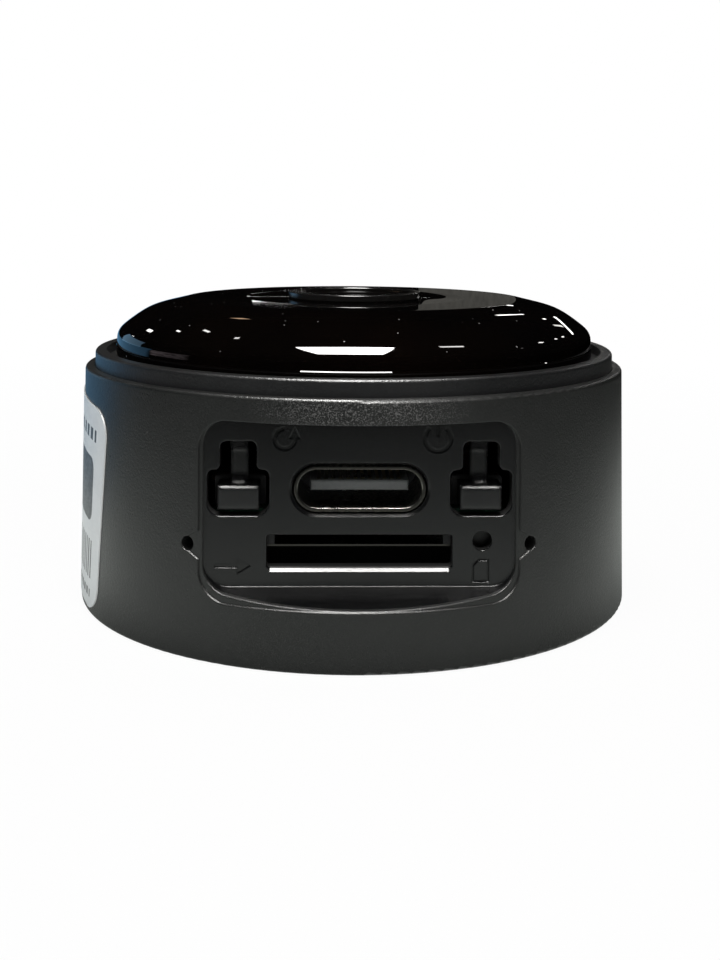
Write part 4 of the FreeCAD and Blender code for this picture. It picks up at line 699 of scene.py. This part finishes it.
def paleSurface(name, look):
    # white to the camera and to gloss; near the object a share of plain diffuse keeps the shadow
    material, tree, shader = startMaterial(name)
    point = objectPoint(tree)
    greys = [(shade, shade, shade) for shade in look["shades"]]
    tree.links.new(shades(tree, noise(tree, point, look["clouds"]), zip(cloudRange, greys)),
                   shader.inputs["Base Color"])
    shader.inputs["Roughness"].default_value = look["rough"]
    shader.inputs["Specular IOR Level"].default_value = 0.0
    glow = add(tree, "ShaderNodeEmission")
    glow.inputs["Color"].default_value = (1, 1, 1, 1)
    glow.inputs["Strength"].default_value = 1.0
    rays = add(tree, "ShaderNodeLightPath").outputs
    seen = largest(tree, rays["Is Camera Ray"], rays["Is Glossy Ray"], rays["Is Transmission Ray"])
    shown = spread(tree, distance(tree, point), look["near"], look["far"], look["show"], 1.0)
    mix = add(tree, "ShaderNodeMixShader")
    tree.links.new(times(tree, seen, shown), mix.inputs[0])
    tree.links.new(shader.outputs[0], mix.inputs[1])
    tree.links.new(glow.outputs[0], mix.inputs[2])
    tree.links.new(mix.outputs[0], tree.nodes["Material Output"].inputs["Surface"])
    return material


def glossCard(name, size, place, aim, material):
    # a card that only reflections see
    clearSelection()
    bpy.ops.mesh.primitive_plane_add(size=1, location=place)
    card = bpy.context.object
    card.name = name
    card.scale = (*size, 1)
    card.rotation_euler = (Vector(aim) - Vector(place)).to_track_quat("Z", "Y").to_euler()
    card.data.materials.append(material)
    for sight in ("visible_camera", "visible_diffuse", "visible_transmission", "visible_shadow"):
        setattr(card, sight, False)
    return card


clearSelection()
bpy.ops.mesh.primitive_plane_add(size=floorLook["size"], location=(0, 0, -floorLook["drop"]))
floor = bpy.context.object
floor.name = "paleFloor"
floor.data.materials.append(paleSurface("paleFloor", floorLook))

# black felt stands all round as in a studio for glossy things
feltLook = dict(weave=40, shades=(0.002, 0.004))
felt, feltTree, feltShader = startMaterial("blackFelt")
weave = noise(feltTree, objectPoint(feltTree), feltLook["weave"])
feltGreys = [(shade, shade, shade) for shade in feltLook["shades"]]
feltTree.links.new(shades(feltTree, weave, zip(cloudRange, feltGreys)), feltShader.inputs["Base Color"])
feltShader.inputs["Roughness"].default_value = 1.0
feltShader.inputs["Specular IOR Level"].default_value = 0.0
feltCards = {
    "ceilingCard": dict(size=(3.2, 3.2), place=(0, 0, 0.8), aim=(0, 0, 0)),
    "backCard": dict(size=(3.2, 0.9), place=(0, 1.2, 0.42), aim=(0, 0, 0.42)),
    "leftCard": dict(size=(2.4, 0.9), place=(-1.3, 0, 0.42), aim=(0, 0, 0.42)),
    "rightCard": dict(size=(2.4, 0.9), place=(1.3, 0, 0.42), aim=(0, 0, 0.42)),
    "frontCard": dict(size=(3.2, 0.9), place=(0, -1.2, 0.42), aim=(0, 0, 0.42)),
}
for name, card in feltCards.items():
    glossCard(name, card["size"], card["place"], card["aim"], felt)

# painted reflection: the table as the gloss of the side wall sees it, a glowing card: pale near the part,
# dark further out
tableLook = dict(
    size=(3.2, 3.2), place=(0, 0, 0.0001), tint=(0.95, 1.0, 0.945), reach=0.2,
    # share of the reach, and how bright the table is there; darker right at the foot, a painted contact
    # shadow
    fall=[(0.0, 0.4), (0.11, 0.4), (0.14, 0.9), (0.22, 0.88), (0.3, 0.56), (0.38, 0.32), (0.5, 0.14),
          (0.8, 0.0)],
    # dimmer in front than to the sides: a painted shadow of the camera
    front=0.75, left=1.0, right=0.72, turn=(0.01, 0.035),
    # painted reflection: a blue patch in the glow, for something blue behind on the left
    blue=(0.11, 0.27, 0.45), blueSide=(-0.035, -0.06), blueLean=0.34, blueEdge=(-0.004, 0.012),
    # and a grey patch further out beside it, a painted reflection which only the foot of the window sees
    grey=(0.62, 0.52, 0.55), greyReach=(0.198, 0.5), greyBack=(0.0, -0.008), greyLean=-0.16,
    greyEdge=(-0.004, 0.012), smear=26, smearRange=(0.35, 0.65), leastSmear=0.1)


def glowingTable(name, look):
    material, tree, shader = startMaterial(name)
    point = objectPoint(tree)
    x, y = coordinates(tree, point)[:2]
    away = distance(tree, point)
    glow = shades(tree, spread(tree, away, 0, look["reach"], 0, 1),
                  [(place, scaled(look["tint"], level)) for place, level in look["fall"]])
    behind = sums(tree, "MULTIPLY_ADD", x, look["blueLean"], y)
    blueShare = times(tree, spread(tree, x, *look["blueSide"], 0, 1),
                      spread(tree, behind, *look["blueEdge"], 0, 1))
    glow = mixColour(tree, blueShare, glow, look["blue"])
    ahead = sums(tree, "MULTIPLY_ADD", x, look["greyLean"], y)
    smear = noise(tree, point, look["smear"], detail=4, rough=0.6, twist=1.5)
    greyShare = times(tree, between(tree, away, *look["greyReach"]),
                      spread(tree, behind, *look["greyBack"], 0, 1),
                      spread(tree, smear, *look["smearRange"], look["leastSmear"], 1),
                      spread(tree, ahead, *look["greyEdge"], 0, 1), below(tree, x, 0.0))
    glow = mixColour(tree, greyShare, glow, look["grey"])
    near, far = look["turn"]
    leftward = spread(tree, x, -far, -near, look["left"], look["front"])
    rightward = spread(tree, x, near, far, look["front"], look["right"])
    shader.inputs["Base Color"].default_value = (0, 0, 0, 1)
    shader.inputs["Specular IOR Level"].default_value = 0.0
    tree.links.new(glow, shader.inputs["Emission Color"])
    tree.links.new(largest(tree, leftward, rightward), shader.inputs["Emission Strength"])
    return material


tableCard = glossCard("tableCard", tableLook["size"], tableLook["place"], (0, 0, 1),
                      glowingTable("tableGlow", tableLook))
# an unscaled mesh, so that the fall of the glow is in metres
clearSelection()
tableCard.select_set(True)
bpy.context.view_layer.objects.active = tableCard
bpy.ops.object.transform_apply(location=False, rotation=True, scale=True)

# a glowing grey card far behind, which the flat middle of the window mirrors: a painted reflection
greyLook = dict(size=(0.085, 0.22), place=(0.123, 1.0, 0.14), aim=(0.0, 0.0, 0.03), fibres=24,
                dark=(0.066, 0.064, 0.058), light=(0.1, 0.097, 0.088))
grey, greyTree, greyShader = startMaterial("greyCard")
greyShader.inputs["Base Color"].default_value = (0, 0, 0, 1)
greyShader.inputs["Specular IOR Level"].default_value = 0.0
greyShader.inputs["Emission Strength"].default_value = 1.0
fibres = noise(greyTree, objectPoint(greyTree), greyLook["fibres"], detail=4, rough=0.6)
greyTree.links.new(shades(greyTree, fibres, zip(cloudRange, (greyLook["dark"], greyLook["light"]))),
                   greyShader.inputs["Emission Color"])
glossCard("greyCard", greyLook["size"], greyLook["place"], greyLook["aim"], grey)
print("floor and cards stand")

# plain light from all sides, while the camera and gloss see white
worldLight = 0.34
world = bpy.data.worlds.new("studioAir")
bpy.context.scene.world = world
world.use_nodes = True
air = world.node_tree
backdrop = air.nodes["Background"]
backdrop.inputs["Color"].default_value = (1, 1, 1, 1)
rays = add(air, "ShaderNodeLightPath").outputs
direct = largest(air, rays["Is Camera Ray"], rays["Is Glossy Ray"], rays["Is Transmission Ray"])
air.links.new(sums(air, "MULTIPLY_ADD", direct, 1 - worldLight, worldLight), backdrop.inputs["Strength"])

lamps = {
    # matte and gloss say which faces feel the lamp, along turns its long side
    "overheadBox": dict(size=(0.26, 0.15), place=(-0.027, -0.095, 0.523), aim=(0, -0.015, 0.02), power=1.3,
                        colour=(1, 0.985, 0.96), matte=True, gloss=False),
    "overheadShine": dict(size=(0.22, 0.35), place=(-0.02, -0.135, 0.49), aim=(0, -0.015, 0.02), power=11.0,
                          along=(1, 0, 0), colour=(1, 0.985, 0.96), matte=False, gloss=True),
    "smallTop": dict(size=(0.062, 0.03), place=(0.217, 0.083, 0.51), aim=(0.006, -0.016, 0.02), power=0.09,
                     along=(0.82, 0.39, -0.42), colour=(1, 0.97, 0.94), matte=True, gloss=True),
    "backRight": dict(size=(0.058, 0.008), place=(0.192, 0.715, 0.305), aim=(0.011, -0.01, 0.022),
                      power=0.012, along=(0.44, 0.2, -0.87), colour=(1, 0.97, 0.95), matte=False, gloss=True),
    "backSlit": dict(size=(0.11, 0.0014), place=(-0.004, 0.97, 0.098), aim=(-0.005, -0.005, 0.023),
                     power=0.002, colour=(1, 1, 1), matte=False, gloss=True),
    "leftBlue": dict(size=(0.27, 0.17), place=(-0.43, 0.39, 0.087), aim=(-0.016, -0.009, 0.02), power=0.1,
                     colour=(0.38, 0.69, 1.0), matte=False, gloss=True),
    "leftSky": dict(size=(0.4, 0.17), place=(-0.43, 0.39, 0.12), aim=(-0.016, -0.009, 0.02), power=0.5,
                    colour=(0.42, 0.72, 1.0), matte=True, gloss=False),
    # four far lights of the room, seen only as glints in the window
    "warmDoor": dict(size=(0.02, 0.035), place=(-0.13, 0.61, 0.42), aim=(-0.008, -0.013, 0.022), power=0.005,
                     colour=(1, 0.66, 0.42), matte=False, gloss=True),
    "rightSpot": dict(size=(0.014, 0.014), place=(0.61, 0.09, 0.46), aim=(0.011, -0.015, 0.021), power=0.003,
                      colour=(1, 0.98, 0.95), matte=False, gloss=True),
    "rightTube": dict(size=(0.15, 0.014), place=(0.35, 0.68, 0.255), aim=(0.0155, -0.008, 0.0215), power=0.05,
                      along=(0.76, -0.62, 0.2), colour=(1, 0.99, 0.97), matte=False, gloss=True),
    "rightDoor": dict(size=(0.06, 0.01), place=(0.374, 0.645, 0.31), aim=(0.015, -0.009, 0.0217), power=0.007,
                      along=(-0.1, 0.47, -0.88), colour=(1, 0.97, 0.93), matte=False, gloss=True),
    # soft light on the wall from both sides
    "rightFill": dict(size=(0.5, 0.5), place=(0.55, -0.55, 0.25), aim=(0.01, -0.015, 0.012), power=1.5,
                      colour=(1, 0.985, 0.965), matte=True, gloss=False),
    "leftFill": dict(size=(0.4, 0.4), place=(-0.6, -0.45, 0.12), aim=(-0.01, -0.015, 0.01), power=1.6,
                     colour=(0.97, 0.99, 1.0), matte=True, gloss=False),
}
# small ceiling lights of the room, on either side: place, size, direction of the long side, power
roomGlints = [
    ((-0.49, 0.596, 0.246), (0.036, 0.01), (-0.68, -0.67, 0.31), 0.011),
    ((-0.392, 0.606, 0.367), (0.05, 0.009), (-0.31, -0.61, 0.73), 0.015),
    ((-0.397, 0.496, 0.505), (0.028, 0.007), (-0.14, -0.74, 0.66), 0.008),
    ((-0.361, 0.416, 0.598), (0.044, 0.01), (-0.04, -0.82, 0.57), 0.016),
    ((-0.326, 0.282, 0.693), (0.018, 0.012), (0.63, -0.59, 0.51), 0.008),
    ((0.527, 0.384, 0.487), (0.03, 0.04), (0.56, 0.22, -0.8), 0.05),
    ((0.479, 0.512, 0.408), (0.016, 0.024), (0.36, 0.31, -0.88), 0.014),
    ((0.45, 0.57, 0.359), (0.015, 0.02), (0.3, 0.3, -0.9), 0.01),
    ((0.307, 0.672, 0.321), (0.012, 0.016), (0.3, 0.3, -0.91), 0.007),
    ((0.157, 0.753, 0.222), (0.05, 0.008), (0.9, -0.1, -0.3), 0.01),
]
glintAim = (0, -0.011, 0.0215)
for count, (place, size, along, power) in enumerate(roomGlints, 1):
    lamps["roomGlint%d" % count] = dict(size=size, place=place, aim=glintAim, power=power, along=along,
                                        colour=(1, 0.98, 0.95), matte=False, gloss=True)


def standing(place, right, back):
    # a lamp or camera at its place, turned by the directions of its right side and its back
    up = back.cross(right)
    return Matrix.Translation(place) @ Matrix((right, up, back)).transposed().to_4x4()


for name, lamp in lamps.items():
    light = bpy.data.lights.new(name, "AREA")
    light.shape = "RECTANGLE"
    light.size, light.size_y = lamp["size"]
    light.energy = lamp["power"]
    light.color = lamp["colour"]
    stand = bpy.data.objects.new(name, light)
    bpy.context.scene.collection.objects.link(stand)
    back = (Vector(lamp["place"]) - Vector(lamp["aim"])).normalized()
    side = Vector(lamp["along"]) if "along" in lamp else back.to_track_quat("Z", "Y") @ Vector((1, 0, 0))
    side = (side - side.dot(back) * back).normalized()
    stand.matrix_world = standing(Vector(lamp["place"]), side, back)
    stand.visible_camera = False
    stand.visible_diffuse = lamp["matte"]
    stand.visible_glossy = lamp["gloss"]
print("lamps:", len(lamps))

# place, lens and sensor in millimetres; down, to the right and rolled in radians; the clip in metres
shot = dict(place=(-2.7254, -104.6615, 30.7852), pitch=0.0398, yaw=0.0301, roll=0.0076, lens=48.815,
            sensor=36, rise=-0.2361, clip=0.01)
pitch, yaw, roll = shot["pitch"], shot["yaw"], shot["roll"]
ahead = Vector((math.sin(yaw) * math.cos(pitch), math.cos(yaw) * math.cos(pitch), -math.sin(pitch)))
level = Vector((math.cos(yaw), -math.sin(yaw), 0))
right = math.cos(roll) * level + math.sin(roll) * level.cross(ahead)
cameraData = bpy.data.cameras.new("photoCamera")
cameraData.sensor_width = shot["sensor"]
cameraData.lens = shot["lens"]
cameraData.shift_y = shot["rise"]
cameraData.clip_start = shot["clip"]
camera = bpy.data.objects.new("photoCamera", cameraData)
bpy.context.scene.collection.objects.link(camera)
camera.matrix_world = standing(Vector(shot["place"]) * mm, right, -ahead)
bpy.context.scene.camera = camera
bpy.context.scene.view_settings.view_transform = "Standard"
print("camera stands")
